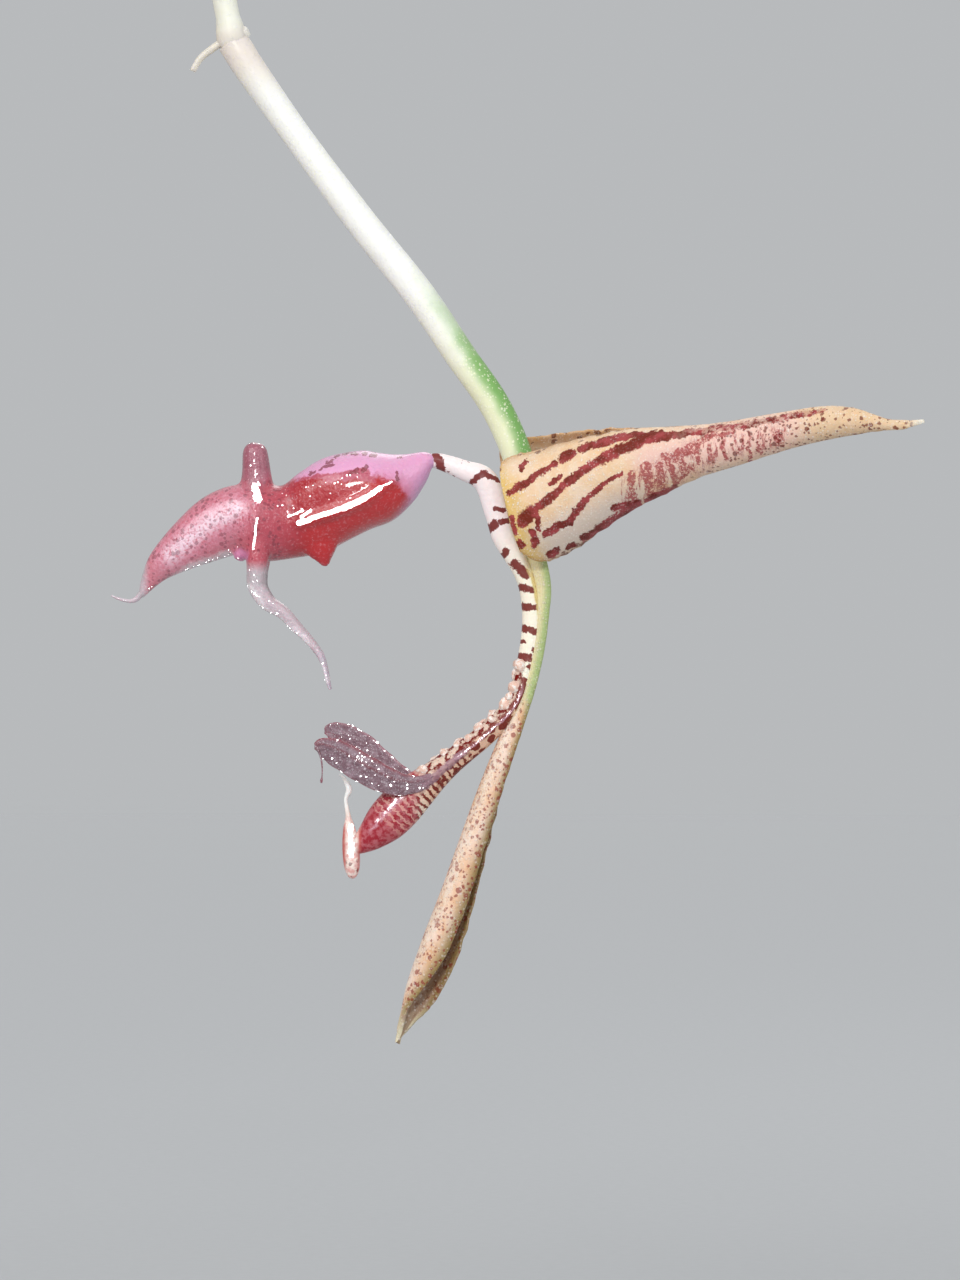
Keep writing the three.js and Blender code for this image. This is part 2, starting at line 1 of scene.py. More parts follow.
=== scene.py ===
# A gongora orchid in bloom, grown in a clay pot of coarse bark. The ribbed pseudobulbs carry pleated leaves,
# and one arching spray hangs its blooms beside the pot. The camera looks at the last bloom from close by.
import json
import math
import random

import bmesh
import bpy
from mathutils import Matrix, Vector, noise

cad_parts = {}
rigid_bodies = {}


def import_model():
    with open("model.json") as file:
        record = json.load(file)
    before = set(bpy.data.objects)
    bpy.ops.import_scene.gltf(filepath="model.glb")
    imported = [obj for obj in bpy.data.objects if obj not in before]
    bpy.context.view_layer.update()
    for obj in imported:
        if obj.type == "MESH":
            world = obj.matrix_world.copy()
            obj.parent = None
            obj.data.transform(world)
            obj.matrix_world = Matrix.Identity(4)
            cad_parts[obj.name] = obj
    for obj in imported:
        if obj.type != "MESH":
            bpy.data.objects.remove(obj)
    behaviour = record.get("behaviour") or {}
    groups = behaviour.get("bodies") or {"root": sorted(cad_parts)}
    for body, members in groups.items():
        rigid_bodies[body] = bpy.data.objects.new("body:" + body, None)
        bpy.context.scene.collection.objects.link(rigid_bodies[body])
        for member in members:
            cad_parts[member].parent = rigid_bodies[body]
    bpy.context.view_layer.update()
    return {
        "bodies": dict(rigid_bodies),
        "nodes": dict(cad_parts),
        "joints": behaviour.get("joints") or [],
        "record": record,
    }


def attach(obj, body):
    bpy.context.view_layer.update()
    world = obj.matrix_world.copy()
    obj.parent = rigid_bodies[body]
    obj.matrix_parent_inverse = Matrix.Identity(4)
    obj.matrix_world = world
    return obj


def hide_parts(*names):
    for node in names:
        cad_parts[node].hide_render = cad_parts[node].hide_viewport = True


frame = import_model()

MM = 0.001
bpy.context.scene.view_settings.view_transform = "Standard"

# Camera, light and floor
# The camera looks level along +Y at the last bloom, 400 mm in front of it. A small lamp in a snoot beside the
# camera puts the glints on the bloom, large lamps all round light the plant, and a pale floor fades away.

EYE = (145.35, -400, 58.9)
VIEW_HEIGHT = 79.4  # mm, of the picture at the bloom
SENSOR = 36


def standing(name, data):
    """A new thing in the scene, made of this data."""
    thing = bpy.data.objects.new(name, data)
    bpy.context.scene.collection.objects.link(thing)
    return thing


camera_data = bpy.data.cameras.new("camera")
camera_data.sensor_width = SENSOR
camera_data.lens = SENSOR * -EYE[1] / VIEW_HEIGHT
camera_data.clip_start = 0.01
camera = standing("camera", camera_data)
camera.location = Vector(EYE) * MM
camera.rotation_euler = (math.pi / 2, 0, 0)
bpy.context.scene.camera = camera


def aimed(name, data, place, aim, watts):
    data.energy = watts
    lamp = standing(name, data)
    lamp.location = Vector(place) * MM
    lamp.rotation_euler = (Vector(aim) - Vector(place)).to_track_quat("-Z", "Y").to_euler()


def soft_lamp(name, place, aim, size, watts):
    data = bpy.data.lights.new(name, "AREA")
    data.shape = "DISK"
    data.size = size * MM
    aimed(name, data, place, aim, watts)


BLOOM_MIDDLE = (145, 0, 60)
PLANT_MIDDLE = (20, 0, 140)
snoot = bpy.data.lights.new("snoot_by_camera", "SPOT")
snoot.shadow_soft_size = 50 * MM
snoot.spot_size = math.radians(16)
snoot.spot_blend = 0.6
aimed("snoot_by_camera", snoot, (60, -620, 280), BLOOM_MIDDLE, 6.8)
soft_lamp("lamp_front_left", (-2400, -2700, 3000), PLANT_MIDDLE, 2700, 78)
soft_lamp("lamp_front_right", (3000, -2100, 1900), PLANT_MIDDLE, 2700, 22)
soft_lamp("lamp_behind", (900, 3600, 2700), PLANT_MIDDLE, 2700, 30)

world = bpy.data.worlds.new("room")
world.use_nodes = True
room_light = world.node_tree.nodes["Background"].inputs
room_light["Color"].default_value = (0.80, 0.82, 0.84, 1)
room_light["Strength"].default_value = 0.6
bpy.context.scene.world = world

FLOOR_REACH = 6000
FLOOR_FADES = (500, 2600)  # mm from the pot: whole up to the first, gone at the second


def node(tree, kind, inputs=None, **settings):
    """A shader node with its settings. Each input is wired to a socket or holds a plain value."""
    made = tree.nodes.new("ShaderNode" + kind)
    for key, value in settings.items():
        setattr(made, key, value)
    for key, value in (inputs or {}).items():
        if isinstance(value, bpy.types.NodeSocket):
            tree.links.new(value, made.inputs[key])
        else:
            made.inputs[key].default_value = value
    return made


def rise(value, low, high):
    """0 where the value is at low, 1 where it is at high, and a smooth step between."""
    inputs = {"Value": value, "From Min": low, "From Max": high}
    return node(value.id_data, "MapRange", inputs, interpolation_type="SMOOTHSTEP").outputs[0]


def finish(name, plain):
    """A material, with the values that are the same all over it set on its shader."""
    material = bpy.data.materials.new(name)
    material.use_nodes = True
    shader = material.node_tree.nodes["Principled BSDF"]
    for key, value in plain.items():
        shader.inputs[key].default_value = value
    return material, material.node_tree, shader.inputs


def feed(shader, sockets):
    for key, socket in sockets.items():
        socket.id_data.links.new(socket, shader[key])


def clouds(place, **inputs):
    """Cloudy noise over the piece, between 0 and 1."""
    inputs = {"Vector": place, **{title.capitalize(): value for title, value in inputs.items()}}
    return node(place.id_data, "TexNoise", inputs).outputs[0]


def scaled(place, factor):
    return node(place.id_data, "VectorMath", {0: place, "Scale": factor}, operation="SCALE").outputs[0]


def millimetres(tree):
    """The place on the piece, in millimetres in its own frame."""
    return scaled(node(tree, "TexCoord").outputs["Object"], 1 / MM)


def mesh_data(name, mesh):
    """The mesh as data of its own; what it was built in is freed."""
    data = bpy.data.meshes.new(name)
    mesh.to_mesh(data)
    mesh.free()
    return data


disc = bmesh.new()
bmesh.ops.create_circle(disc, cap_ends=True, radius=FLOOR_REACH * MM, segments=96)
floor = standing("floor", mesh_data("floor", disc))
paper, tree, shader = finish("pale_paper", {"Roughness": 0.9, "Specular IOR Level": 0.2})
place = millimetres(tree)
away = node(tree, "VectorMath", {0: place}, operation="LENGTH").outputs["Value"]
tooth = clouds(place, scale=0.8, detail=4)
tones = {"Factor": tooth, 6: (0.56, 0.57, 0.58, 1), 7: (0.6, 0.61, 0.62, 1)}
paper_grey = node(tree, "Mix", tones, data_type="RGBA").outputs[2]
feed(shader, {"Base Color": paper_grey, "Alpha": rise(away, FLOOR_FADES[1], FLOOR_FADES[0])})
floor.data.materials.append(paper)

# Pot
# A thrown clay pot with a plain rim band, fired once and left bare, so that water and lime have marked it. It
# has four drain holes in its foot and stands flat on it.

POT_HEIGHT = 84
FOOT_RADIUS = 33
SHOULDER_RADIUS = 43.5
RIM_RADIUS = 48
RIM_HEIGHT = 16
POT_FLOOR = 5
BORE_FOOT = 28.5
BORE_TOP = 43
POT_SIDES = 112
POT_OUTLINE = (  # radius, height, rounding of the corner
    (0, 0, 0),
    (FOOT_RADIUS, 0, 1.2),
    (SHOULDER_RADIUS, POT_HEIGHT - RIM_HEIGHT, 0.8),
    (RIM_RADIUS - 1.5, POT_HEIGHT - RIM_HEIGHT, 1.2),
    (RIM_RADIUS, POT_HEIGHT - 1.5, 1.4),
    (RIM_RADIUS - 1.5, POT_HEIGHT, 1.4),
    (BORE_TOP, POT_HEIGHT, 1.6),
    (BORE_FOOT, POT_FLOOR, 3),
    (0, POT_FLOOR, 0),
)
DRAIN_RADIUS = 4
DRAIN_RING = 16
DRAINS = 4

CLAY_LIGHT = "c9774c"
CLAY_DARK = "9c4f30"
CLAY_DAMP = "7a4029"
LIME = "d9c3ad"
MOSS = "5d6a3a"


def paint(code):
    """The shader's colour for a paint chart's code: two hex digits each for red, green and blue."""
    shares = [int(code[k : k + 2], 16) / 255 for k in (0, 2, 4)]
    return (*(s / 12.92 if s < 0.04045 else ((s + 0.055) / 1.055) ** 2.4 for s in shares), 1)


def tree_of(values):
    """The tree that the first socket among these values is in."""
    return next(value.id_data for value in values if isinstance(value, bpy.types.NodeSocket))


def calc(operation, *values):
    return node(tree_of(values), "Math", dict(enumerate(values)), operation=operation).outputs[0]


def chained(operation, values):
    """The values, taken together one after another by the same operation."""
    total = values[0]
    for value in values[1:]:
        total = calc(operation, total, value)
    return total


def times(*values):
    return chained("MULTIPLY", values)


def plus(*values):
    return chained("ADD", values)


def minus(value, less):
    return calc("SUBTRACT", value, less)


def either(*masks):
    """The largest of these masks."""
    return chained("MAXIMUM", masks)


def ranging(value, low, high):
    """Low where the value is 0, high where it is 1, and evenly between."""
    return node(value.id_data, "MapRange", {"Value": value, "To Min": low, "To Max": high}).outputs[0]


def vector(operation, first, second):
    return node(first.id_data, "VectorMath", {0: first, 1: second}, operation=operation).outputs[0]


def mixed(share, under, over):
    """The colour under, with the colour over laid on it where share is 1. Either may be a paint code."""
    under, over = (paint(colour) if isinstance(colour, str) else colour for colour in (under, over))
    return node(share.id_data, "Mix", {"Factor": share, 6: under, 7: over}, data_type="RGBA").outputs[2]


def bumped(height):
    """A surface that rises by the height, in millimetres."""
    return node(height.id_data, "Bump", {"Height": height, "Distance": MM, "Strength": 1.0}).outputs[0]


def axis(place, name):
    return node(place.id_data, "SeparateXYZ", {0: place}).outputs[name]


def shared_effect(name, inputs, output, kind_out="Float"):
    """A node group with one output: its tree, its inputs as seen inside, and the function that ends it."""
    inner = bpy.data.node_groups.new(name, "ShaderNodeTree")
    for title, kind in inputs.items():
        inner.interface.new_socket(name=title, in_out="INPUT", socket_type="NodeSocket" + kind)
    inner.interface.new_socket(name=output, in_out="OUTPUT", socket_type="NodeSocket" + kind_out)
    entry = inner.nodes.new("NodeGroupInput").outputs
    way_out = inner.nodes.new("NodeGroupOutput").inputs[0]
    return inner, entry, lambda socket: inner.links.new(socket, way_out)


def use(effect, inputs):
    """What a shared effect puts out in this material."""
    return node(tree_of(inputs.values()), "Group", inputs, node_tree=effect).outputs[0]


patches, entry, end = shared_effect("patches", {"Place": "Vector", "Size": "Float", "Edge": "Float"}, "Share")
frequency = calc("DIVIDE", 1, entry["Size"])
cloud = clouds(entry["Place"], scale=frequency, detail=5, roughness=0.6)
low = minus(0.5, entry["Edge"])
high = plus(0.5, entry["Edge"])
end(rise(cloud, low, high))


def patched(place, size, edge):
    """Soft-edged patches: about half of the surface is 1, in shapes of this size."""
    return use(patches, {"Place": place, "Size": size, "Edge": edge})


specks, entry, end = shared_effect(
    "specks", {"Place": "Vector", "Spacing": "Float", "Radius": "Float", "Ragged": "Float"}, "Share"
)
frequency = calc("DIVIDE", 1, entry["Spacing"])
fray = node(specks, "TexNoise", {"Vector": entry["Place"], "Scale": times(frequency, 2.5)})
fray = vector("SUBTRACT", fray.outputs[1], (0.5, 0.5, 0.5))
fray = scaled(fray, entry["Ragged"])
frayed = vector("ADD", entry["Place"], fray)
cells = node(specks, "TexVoronoi", {"Vector": frayed, "Scale": frequency})
reach = times(axis(cells.outputs["Color"], "X"), entry["Radius"])
end(rise(calc("DIVIDE", cells.outputs["Distance"], reach), 1.1, 0.8))


def specked(place, spacing, radius, ragged):
    """Round specks of uneven size, one in most cells of this spacing. Ragged frays their outline."""
    return use(specks, {"Place": place, "Spacing": spacing, "Radius": radius, "Ragged": ragged})


def fired_clay():
    material, tree, shader = finish("fired_clay", {"Specular IOR Level": 0.25})
    place = millimetres(tree)
    height = axis(place, "Z")
    body = mixed(patched(place, size=9, edge=0.3), CLAY_DARK, CLAY_LIGHT)
    damp = times(rise(height, 40, 4), patched(place, size=16, edge=0.2))
    body = mixed(damp, body, CLAY_DAMP)
    edge_of_damp = times(rise(height, 14, 30), rise(height, 66, 40))
    lime = times(edge_of_damp, patched(place, size=7, edge=0.2))
    rim_lime = times(rise(height, 74, 84), patched(place, size=5, edge=0.1))
    lime = times(either(lime, rim_lime), 0.5)
    body = mixed(lime, body, LIME)
    moss = times(rise(height, 20, 1), patched(place, size=4, edge=0.08))
    body = mixed(times(moss, 0.8), body, MOSS)
    grit = specked(place, spacing=1.3, radius=0.35, ragged=0.4)
    grain = clouds(place, scale=2.2, detail=6)
    relief = plus(times(grain, 0.25), times(grit, -0.12))
    body = mixed(times(grit, 0.35), body, CLAY_DAMP)
    roughness = ranging(lime, 0.78, 0.95)
    feed(shader, {"Base Color": body, "Roughness": roughness, "Normal": bumped(relief)})
    return material


def rounded_outline(corners, spacing):
    """Points along straight lines between the corners, with each corner rounded off."""
    outline = []
    for before, corner, after in zip([corners[0], *corners], corners, [*corners[1:], corners[-1]]):
        at = Vector(corner[:2])
        start = at + (Vector(before[:2]) - at).normalized() * corner[2]
        stop = at + (Vector(after[:2]) - at).normalized() * corner[2]
        if outline:
            run = (start - outline[-1]).length
            pieces = max(1, round(run / spacing))
            last = outline[-1]
            outline += [last.lerp(start, k / pieces) for k in range(1, pieces)]
        turns = 4 if corner[2] else 0
        outline += [start.lerp(at, k / 4).lerp(at.lerp(stop, k / 4), k / 4) for k in range(turns)]
        outline.append(stop)
    return outline


def turned(outline, sides, wander=lambda radius, height, angle: 0):
    """A closed mesh of revolution, in millimetres, from an outline that starts and ends on the axis."""
    mesh = bmesh.new()
    foot = mesh.verts.new((0, 0, outline[0][1]))
    top = mesh.verts.new((0, 0, outline[-1][1]))
    rings = []
    for radius, height in outline[1:-1]:
        angles = [2 * math.pi * k / sides for k in range(sides)]
        reaches = [radius + wander(radius, height, angle) for angle in angles]
        points = [(r * math.cos(a), r * math.sin(a), height) for r, a in zip(reaches, angles)]
        rings.append([mesh.verts.new(point) for point in points])
    for k in range(sides):
        following = (k + 1) % sides
        mesh.faces.new((foot, rings[0][following], rings[0][k]))
        for lower, upper in zip(rings, rings[1:]):
            mesh.faces.new((lower[k], lower[following], upper[following], upper[k]))
        mesh.faces.new((top, rings[-1][k], rings[-1][following]))
    return mesh


def made(name, mesh, material, slot, nodes, place=Matrix(), smooth=True):
    """The finished piece: its mesh goes from millimetres to metres, and it stands for these CAD nodes."""
    bmesh.ops.recalc_face_normals(mesh, faces=mesh.faces)
    mesh.transform(Matrix.Scale(MM, 4))
    return shown(name, mesh_data(name, mesh), material, nodes, place, smooth)


def shown(name, data, material, nodes, place=Matrix(), smooth=True):
    if smooth:
        data.shade_smooth()
    data.materials.clear()
    data.materials.append(material)
    piece = standing(name, data)
    piece.matrix_world = place
    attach(piece, "root")
    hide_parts(*nodes)
    return piece


def settled(piece):
    """The piece with its modifiers worked into its mesh."""
    layer = bpy.context.evaluated_depsgraph_get()
    data = bpy.data.meshes.new_from_object(piece.evaluated_get(layer))
    piece.modifiers.clear()
    piece.data = data
    return piece


def throwing_marks(radius, height, angle):
    outside = radius > BORE_TOP * (height / POT_HEIGHT) + 2 and 2 < height < POT_HEIGHT - 2
    ripple = 0.16 * math.sin(1.15 * height + 0.6 * math.sin(angle)) + 0.2 * math.sin(2 * angle + 1)
    return ripple if outside else 0


clay_pot = made(
    "clay_pot",
    turned(rounded_outline(POT_OUTLINE, 2.2), POT_SIDES, throwing_marks),
    fired_clay(),
    "clay",
    ["pot"],
)
for k in range(DRAINS):
    angle = 2 * math.pi * (k + 0.5) / DRAINS
    awl = bmesh.new()
    reach, depth = DRAIN_RADIUS * MM, 4 * POT_FLOOR * MM
    bmesh.ops.create_cone(awl, cap_ends=True, segments=24, radius1=reach, radius2=reach, depth=depth)
    hole = standing("awl", mesh_data("awl", awl))
    hole.location = (DRAIN_RING * math.cos(angle) * MM, DRAIN_RING * math.sin(angle) * MM, 0)
    bpy.context.view_layer.update()
    cut = clay_pot.modifiers.new("drain", "BOOLEAN")
    cut.object = hole
    settled(clay_pot)
    bpy.data.objects.remove(hole)

# Bark
# Coarse chips of pine bark fill the pot to a little under its rim. They lie loose, mostly flat, and hold the
# bulbs upright; the top layer is dry and pale, and below it the bark is painted near black as painted shade
# in the gaps between the chips.

BARK_TOP = 73
CHIP_SEED = 11
CHIPS = 330
CHIP_LENGTHS = (6, 15)
BULB_SINK = 7
BULBS = {  # across, deep, height, radius, turn
    "front": (12, -3, 52, 11, 0.2),
    "middle": (-9, 8, 56, 11.5, 0.6),
    "rear": (-28, -4, 48, 10.5, 0.1),
    "old": (-10, -18, 40, 10, 0.4),
}
SPRAY_ROOT = (26, -8, BARK_TOP - 6)

BARK_DARK = "3a2418"
BARK_RED = "7d4a30"
BARK_DRY = "a07d62"
GAP_SHADE_BLACK = "1f130d"


def rough_bark():
    material, tree, shader = finish("rough_bark", {"Roughness": 0.92, "Specular IOR Level": 0.2})
    place = millimetres(tree)
    long = vector("MULTIPLY", place, (0.35, 1.3, 1.3))
    layers = clouds(long, scale=0.9, detail=7, roughness=0.65)
    body = mixed(rise(layers, 0.35, 0.6), BARK_DARK, BARK_RED)
    dry = times(rise(layers, 0.45, 0.7), patched(place, size=8, edge=0.2))
    body = mixed(dry, body, BARK_DRY)
    # Painted shade: the chips and the bed below the top layer are painted near black, as the shade in the
    # gaps.
    depth = rise(axis(place, "Z"), BARK_TOP - 4, BARK_TOP + 1)
    body = mixed(depth, GAP_SHADE_BLACK, body)
    feed(shader, {"Base Color": body, "Normal": bumped(times(layers, 1.2))})
    return material


def bore_radius(z):
    return BORE_FOOT + (BORE_TOP - BORE_FOOT) * (z - POT_FLOOR) / (POT_HEIGHT - POT_FLOOR)


def chip(mesh, draw, middle, length):
    """Adds one chip: a flat block with knocked corners and torn ends."""
    size = Vector((length, length * draw.uniform(0.45, 0.75), length * draw.uniform(0.18, 0.4)))
    turn = Matrix.Rotation(draw.uniform(0, 2 * math.pi), 4, "Z")
    tip = Matrix.Rotation(draw.gauss(0, 0.3), 4, "X") @ Matrix.Rotation(draw.gauss(0, 0.22), 4, "Y")
    start = len(mesh.verts)
    block = bmesh.ops.create_cube(mesh, size=1)["verts"]
    edges = dict.fromkeys(edge for vert in block for edge in vert.link_edges)
    bmesh.ops.subdivide_edges(mesh, edges=list(edges), cuts=3, use_grid_fill=True)
    mesh.verts.ensure_lookup_table()
    offset = Vector((draw.uniform(0, 90), draw.uniform(0, 90), 0))
    for vert in mesh.verts[start:]:
        spread = 1 - 0.25 * max(0, vert.co.length - 0.5)
        place = Vector(a * b * spread for a, b in zip(vert.co, size))
        place += 0.15 * length * noise.noise_vector(offset + 3.2 * vert.co)
        place.z += 0.05 * length * noise.noise(offset + 9 * vert.co)
        vert.co = middle + (turn @ tip @ place)


def bark():
    draw = random.Random(CHIP_SEED)
    noise.seed_set(CHIP_SEED)
    reach = bore_radius(BARK_TOP) - 0.6
    foot, top = POT_FLOOR + 0.3, BARK_TOP - 3
    bed = [(0, foot), (bore_radius(POT_FLOOR) - 0.6, foot), (reach - 1, top), (0, top)]
    mesh = turned([Vector(point) for point in bed], 48)
    laid = 0
    while laid < CHIPS:
        length = draw.uniform(*CHIP_LENGTHS) * (1 if laid < CHIPS * 0.7 else 0.6)
        distance = (reach - 0.42 * length) * math.sqrt(draw.random())
        angle = draw.uniform(0, 2 * math.pi)
        z = draw.uniform(BARK_TOP - 3.5, BARK_TOP + (2.6 if laid < CHIPS * 0.7 else 4))
        middle = Vector((distance * math.cos(angle), distance * math.sin(angle), z))
        laid += 1
        shares = (math.hypot(middle.x - x, middle.y - y) / radius for x, y, _, radius, _ in BULBS.values())
        if min(shares) < 0.92:
            continue
        chip(mesh, draw, middle, length)
    return mesh


made("pine_bark", bark(), rough_bark(), "bark", ["bark"], smooth=False)

# Pseudobulbs
# Four egg-shaped storage stems stand side by side in the bark, each with sharp ribs from foot to crown. The
# three young ones are green and firm; the old one has lost its leaves and is yellow and shrunken.

BULB_OUTLINE = (0.62, 0.9, 1, 1, 0.92, 0.76, 0.54, 0.31)  # shares of the radius, from the foot to the crown
RIBS = 7
RIB_DEPTH = 0.16
BULB_ROWS = 56
RIB_POINTS = 12  # round each rib

BULB_GREEN = "7f9648"
BULB_DEEP = "4c6a2c"
BULB_YELLOW = "b5ab62"
BULB_SCAR = "6e4f33"
BULB_OLIVE = "8b8444"


def fleshy(name, shine, glow, depths, more={}):
    """A material that light gets into a little: red, green and blue to these depths, in millimetres."""
    plain = {"Specular IOR Level": shine, "Subsurface Weight": glow, "Subsurface Scale": MM}
    return finish(name, {**plain, "Subsurface Radius": depths, **more})


def map_of(tree):
    """The map of a skin: X runs lengthwise and Y goes round, each in the numbers that its piece gives."""
    return node(tree, "UVMap", uv_map="skin").outputs[0]


def ribbed_stem(name, young):
    material, tree, shader = fleshy(name, 0.45, 0.08, (2, 2, 0.8))
    place = millimetres(tree)
    skin_map = map_of(tree)
    turn, height = axis(skin_map, "Y"), axis(skin_map, "X")
    wave = calc("SINE", times(turn, math.pi * RIBS))
    groove = calc("ABSOLUTE", wave)
    cloud = patched(place, size=7, edge=0.25)
    light, deep = (BULB_GREEN, BULB_DEEP) if young else (BULB_YELLOW, BULB_OLIVE)
    # Painted shade: the grooves between the ribs are painted a deeper tone.
    body = mixed(times(groove, 0.8), light, deep)
    body = mixed(times(cloud, 0.35 if young else 0.6), body, BULB_YELLOW)
    upright = vector("MULTIPLY", place, (1, 1, 0.12))
    fibres = clouds(upright, scale=1.6, detail=5)
    body = mixed(times(rise(fibres, 0.52, 0.7), 0.35), body, BULB_DEEP)
    marks = specked(place, spacing=3.4, radius=0.3, ragged=1.2)
    body = mixed(times(marks, 0.5 if young else 0.8), body, BULB_SCAR)
    ends = either(rise(height, 0.22, 0.06), rise(height, 0.955, 0.995))
    torn = times(ends, rise(plus(fibres, times(ends, 0.5)), 0.5, 0.8))
    body = mixed(torn, body, BULB_SCAR)
    gloss = ranging(fibres, 0.38, 0.6)
    relief = times(fibres, 0.35 if young else 0.9)
    feed(shader, {"Base Color": body, "Roughness": gloss, "Normal": bumped(relief)})
    return material


def flowing(stations, steps):
    """Stations on a smooth curve through these ones, at even steps from the first to the last."""
    last = len(stations) - 1
    result = []
    for step in range(steps + 1):
        place = step / steps * last
        k = min(int(place), last - 1)
        t = place - k
        around = [stations[min(max(j, 0), last)] for j in range(k - 1, k + 3)]
        result.append(
            [
                b + t * (c - a + t * (2 * a - 5 * b + 4 * c - d + t * (3 * b - a - 3 * c + d))) / 2
                for a, b, c, d in zip(*around)
            ]
        )
    return result


def skin(rings, lengthwise, around):
    """A closed mesh over rings of points. Its map "skin" holds the number of each ring and ring point."""
    mesh = bmesh.new()
    marks = mesh.loops.layers.uv.new("skin")
    rows = [[mesh.verts.new(point) for point in ring] for ring in rings]
    size = len(rings[0])
    for i in range(len(rows) - 1):
        for k in range(size):
            corners = ((i, k), (i, k + 1), (i + 1, k + 1), (i + 1, k))
            face = mesh.faces.new([rows[row][column % size] for row, column in corners])
            for loop, (row, column) in zip(face.loops, corners):
                loop[marks].uv = (lengthwise[row], around[column])
    for i in (0, len(rows) - 1):
        for k in range(size // 2):
            opposite = [(size - k) % size, size - k - 1]
            corners = [k, k + 1, *reversed(opposite)]
            corners = list(dict.fromkeys(corners))
            face = mesh.faces.new([rows[i][column] for column in corners])
            for loop, column in zip(face.loops, corners):
                loop[marks].uv = (lengthwise[i], around[column])
    return mesh


def even_shares(parts):
    return [k / parts for k in range(parts + 1)]


def pseudobulb(x, y, height, radius, turn, wander):
    sides = RIBS * RIB_POINTS
    outline = flowing([(share,) for share in BULB_OUTLINE], BULB_ROWS)
    rings, shares = [], []
    for row, (reach,) in enumerate(outline):
        share = row / BULB_ROWS
        ribbing = RIB_DEPTH * math.sin(math.pi * min(1, 1.15 * share))
        ring = []
        for k in range(sides):
            angle = 2 * math.pi * k / sides
            groove = abs(math.sin(RIBS * angle / 2)) ** 0.85
            spot = Vector((3 * math.cos(angle), 3 * math.sin(angle), 5 * share + x))
            swell = 1 + wander * noise.noise(spot)
            r = radius * reach * (1 - ribbing * groove) * swell
            z = BARK_TOP - BULB_SINK + height * share
            ring.append(Vector((x + r * math.cos(angle + turn), y + r * math.sin(angle + turn), z)))
        rings.append(ring)
        shares.append(share)
    for inset in (0.8, 0.4):
        middle = Vector((x, y, rings[-1][0].z))
        rings.append([middle + (point - middle) * inset + Vector((0, 0, 0.25)) for point in rings[BULB_ROWS]])
        shares.append(1)
    return skin(rings, shares, even_shares(sides))


young_bulb = ribbed_stem("bulb_green", True)
old_bulb = ribbed_stem("bulb_yellow", False)
for name, (x, y, height, radius, turn) in BULBS.items():
    is_old = name == "old"
    mesh = pseudobulb(x, y, height, radius, turn, 0.05 if is_old else 0.02)
    made(f"bulb_{name}", mesh, old_bulb if is_old else young_bulb, "bulb", [f"pseudobulb_{name}"])

# Leaves
# Each young bulb carries two leaves on short stalks. They are thin and tough, pleated along seven veins, and
# arch outwards under their own weight. Their ends turn yellow with age.

LEAF_THICKNESS = 0.55
PLEAT_DEPTH = 1.3
PLEATS = 3  # whole waves across the leaf
SMALL_VEINS = 26
LEAF_SEAT = 2.3
LEAF_GAP = 0.3
CAD_LEAF_THICKNESS = 0.9
LEAF_OUTLINE = (0.11, 0.12, 0.28, 0.66, 0.94, 1, 0.86, 0.52, 0.06)
LEAF_ROWS = 84
LEAF_STRIPS = 36
MARGIN_WAVE = 0.8
LEAVES = (  # bulb, side, azimuth, length, width, rise, fall
    ("front", "left", 68, 165, 40, 84, 8),
    ("front", "right", -72, 150, 38, 82, 12),
    ("middle", "left", 112, 175, 42, 80, 0),
    ("middle", "right", -20, 185, 40, 88, 42),
    ("rear", "left", 165, 160, 40, 78, -12),
    ("rear", "right", -75, 150, 36, 80, -8),
)

LEAF_GREEN = "3f6f2a"
LEAF_DEEP = "28501c"
LEAF_VEIN = "7fa052"
LEAF_YELLOW = "a99a45"
LEAF_BROWN = "70502e"


def leaf_green():
    material, tree, shader = fleshy("leaf_green", 0.4, 0.06, (1, 2, 0.4))
    place = millimetres(tree)
    skin_map = map_of(tree)
    along, across = axis(skin_map, "X"), axis(skin_map, "Y")
    fold = calc("COSINE", times(across, PLEATS * math.pi))
    vein = rise(calc("ABSOLUTE", fold), 0.965, 0.998)
    small_veins = calc("SINE", times(across, SMALL_VEINS * math.pi))
    cloud = patched(place, size=14, edge=0.3)
    body = mixed(cloud, LEAF_DEEP, LEAF_GREEN)
    body = mixed(times(rise(small_veins, 0.2, 1), 0.16), body, LEAF_VEIN)
    body = mixed(times(vein, 0.6), body, LEAF_VEIN)
    stalk = rise(along, 0.2, 0.06)
    body = mixed(times(stalk, 0.6), body, LEAF_VEIN)
    blotch = patched(place, size=6, edge=0.15)
    ageing = plus(rise(along, 0.72, 1.05), times(blotch, 0.25))
    body = mixed(times(rise(ageing, 0.35, 1), 0.8), body, LEAF_YELLOW)
    body = mixed(rise(ageing, 0.92, 1.05), body, LEAF_BROWN)
    spots = specked(place, spacing=9, radius=0.14, ragged=1)
    body = mixed(times(spots, 0.7), body, LEAF_BROWN)
    gloss = ranging(cloud, 0.36, 0.52)
    relief = times(small_veins, 0.05)
    relief = plus(relief, times(vein, 0.14))
    feed(shader, {"Base Color": body, "Roughness": gloss, "Normal": bumped(relief)})
    return material


def frames_along(points, facing):
    """At each point of a path: the point, the way across it, and the way out of it towards facing."""
    frames = []
    for i, at in enumerate(points):
        along = (points[min(i + 1, len(points) - 1)] - points[max(i - 1, 0)]).normalized()
        across = along.cross(facing).normalized()
        frames.append((at, across, across.cross(along)))
    return frames


def rolled(frame, degrees):
    at, across, out = frame
    c, s = math.cos(math.radians(degrees)), math.sin(math.radians(degrees))
    return at, across * c + out * s, out * c - across * s


def strip_edges(strips):
    """Shares from -1 to 1 across a blade, closer together near its edges."""
    return [math.sin(math.pi / 2 * (2 * share - 1)) for share in even_shares(strips)]


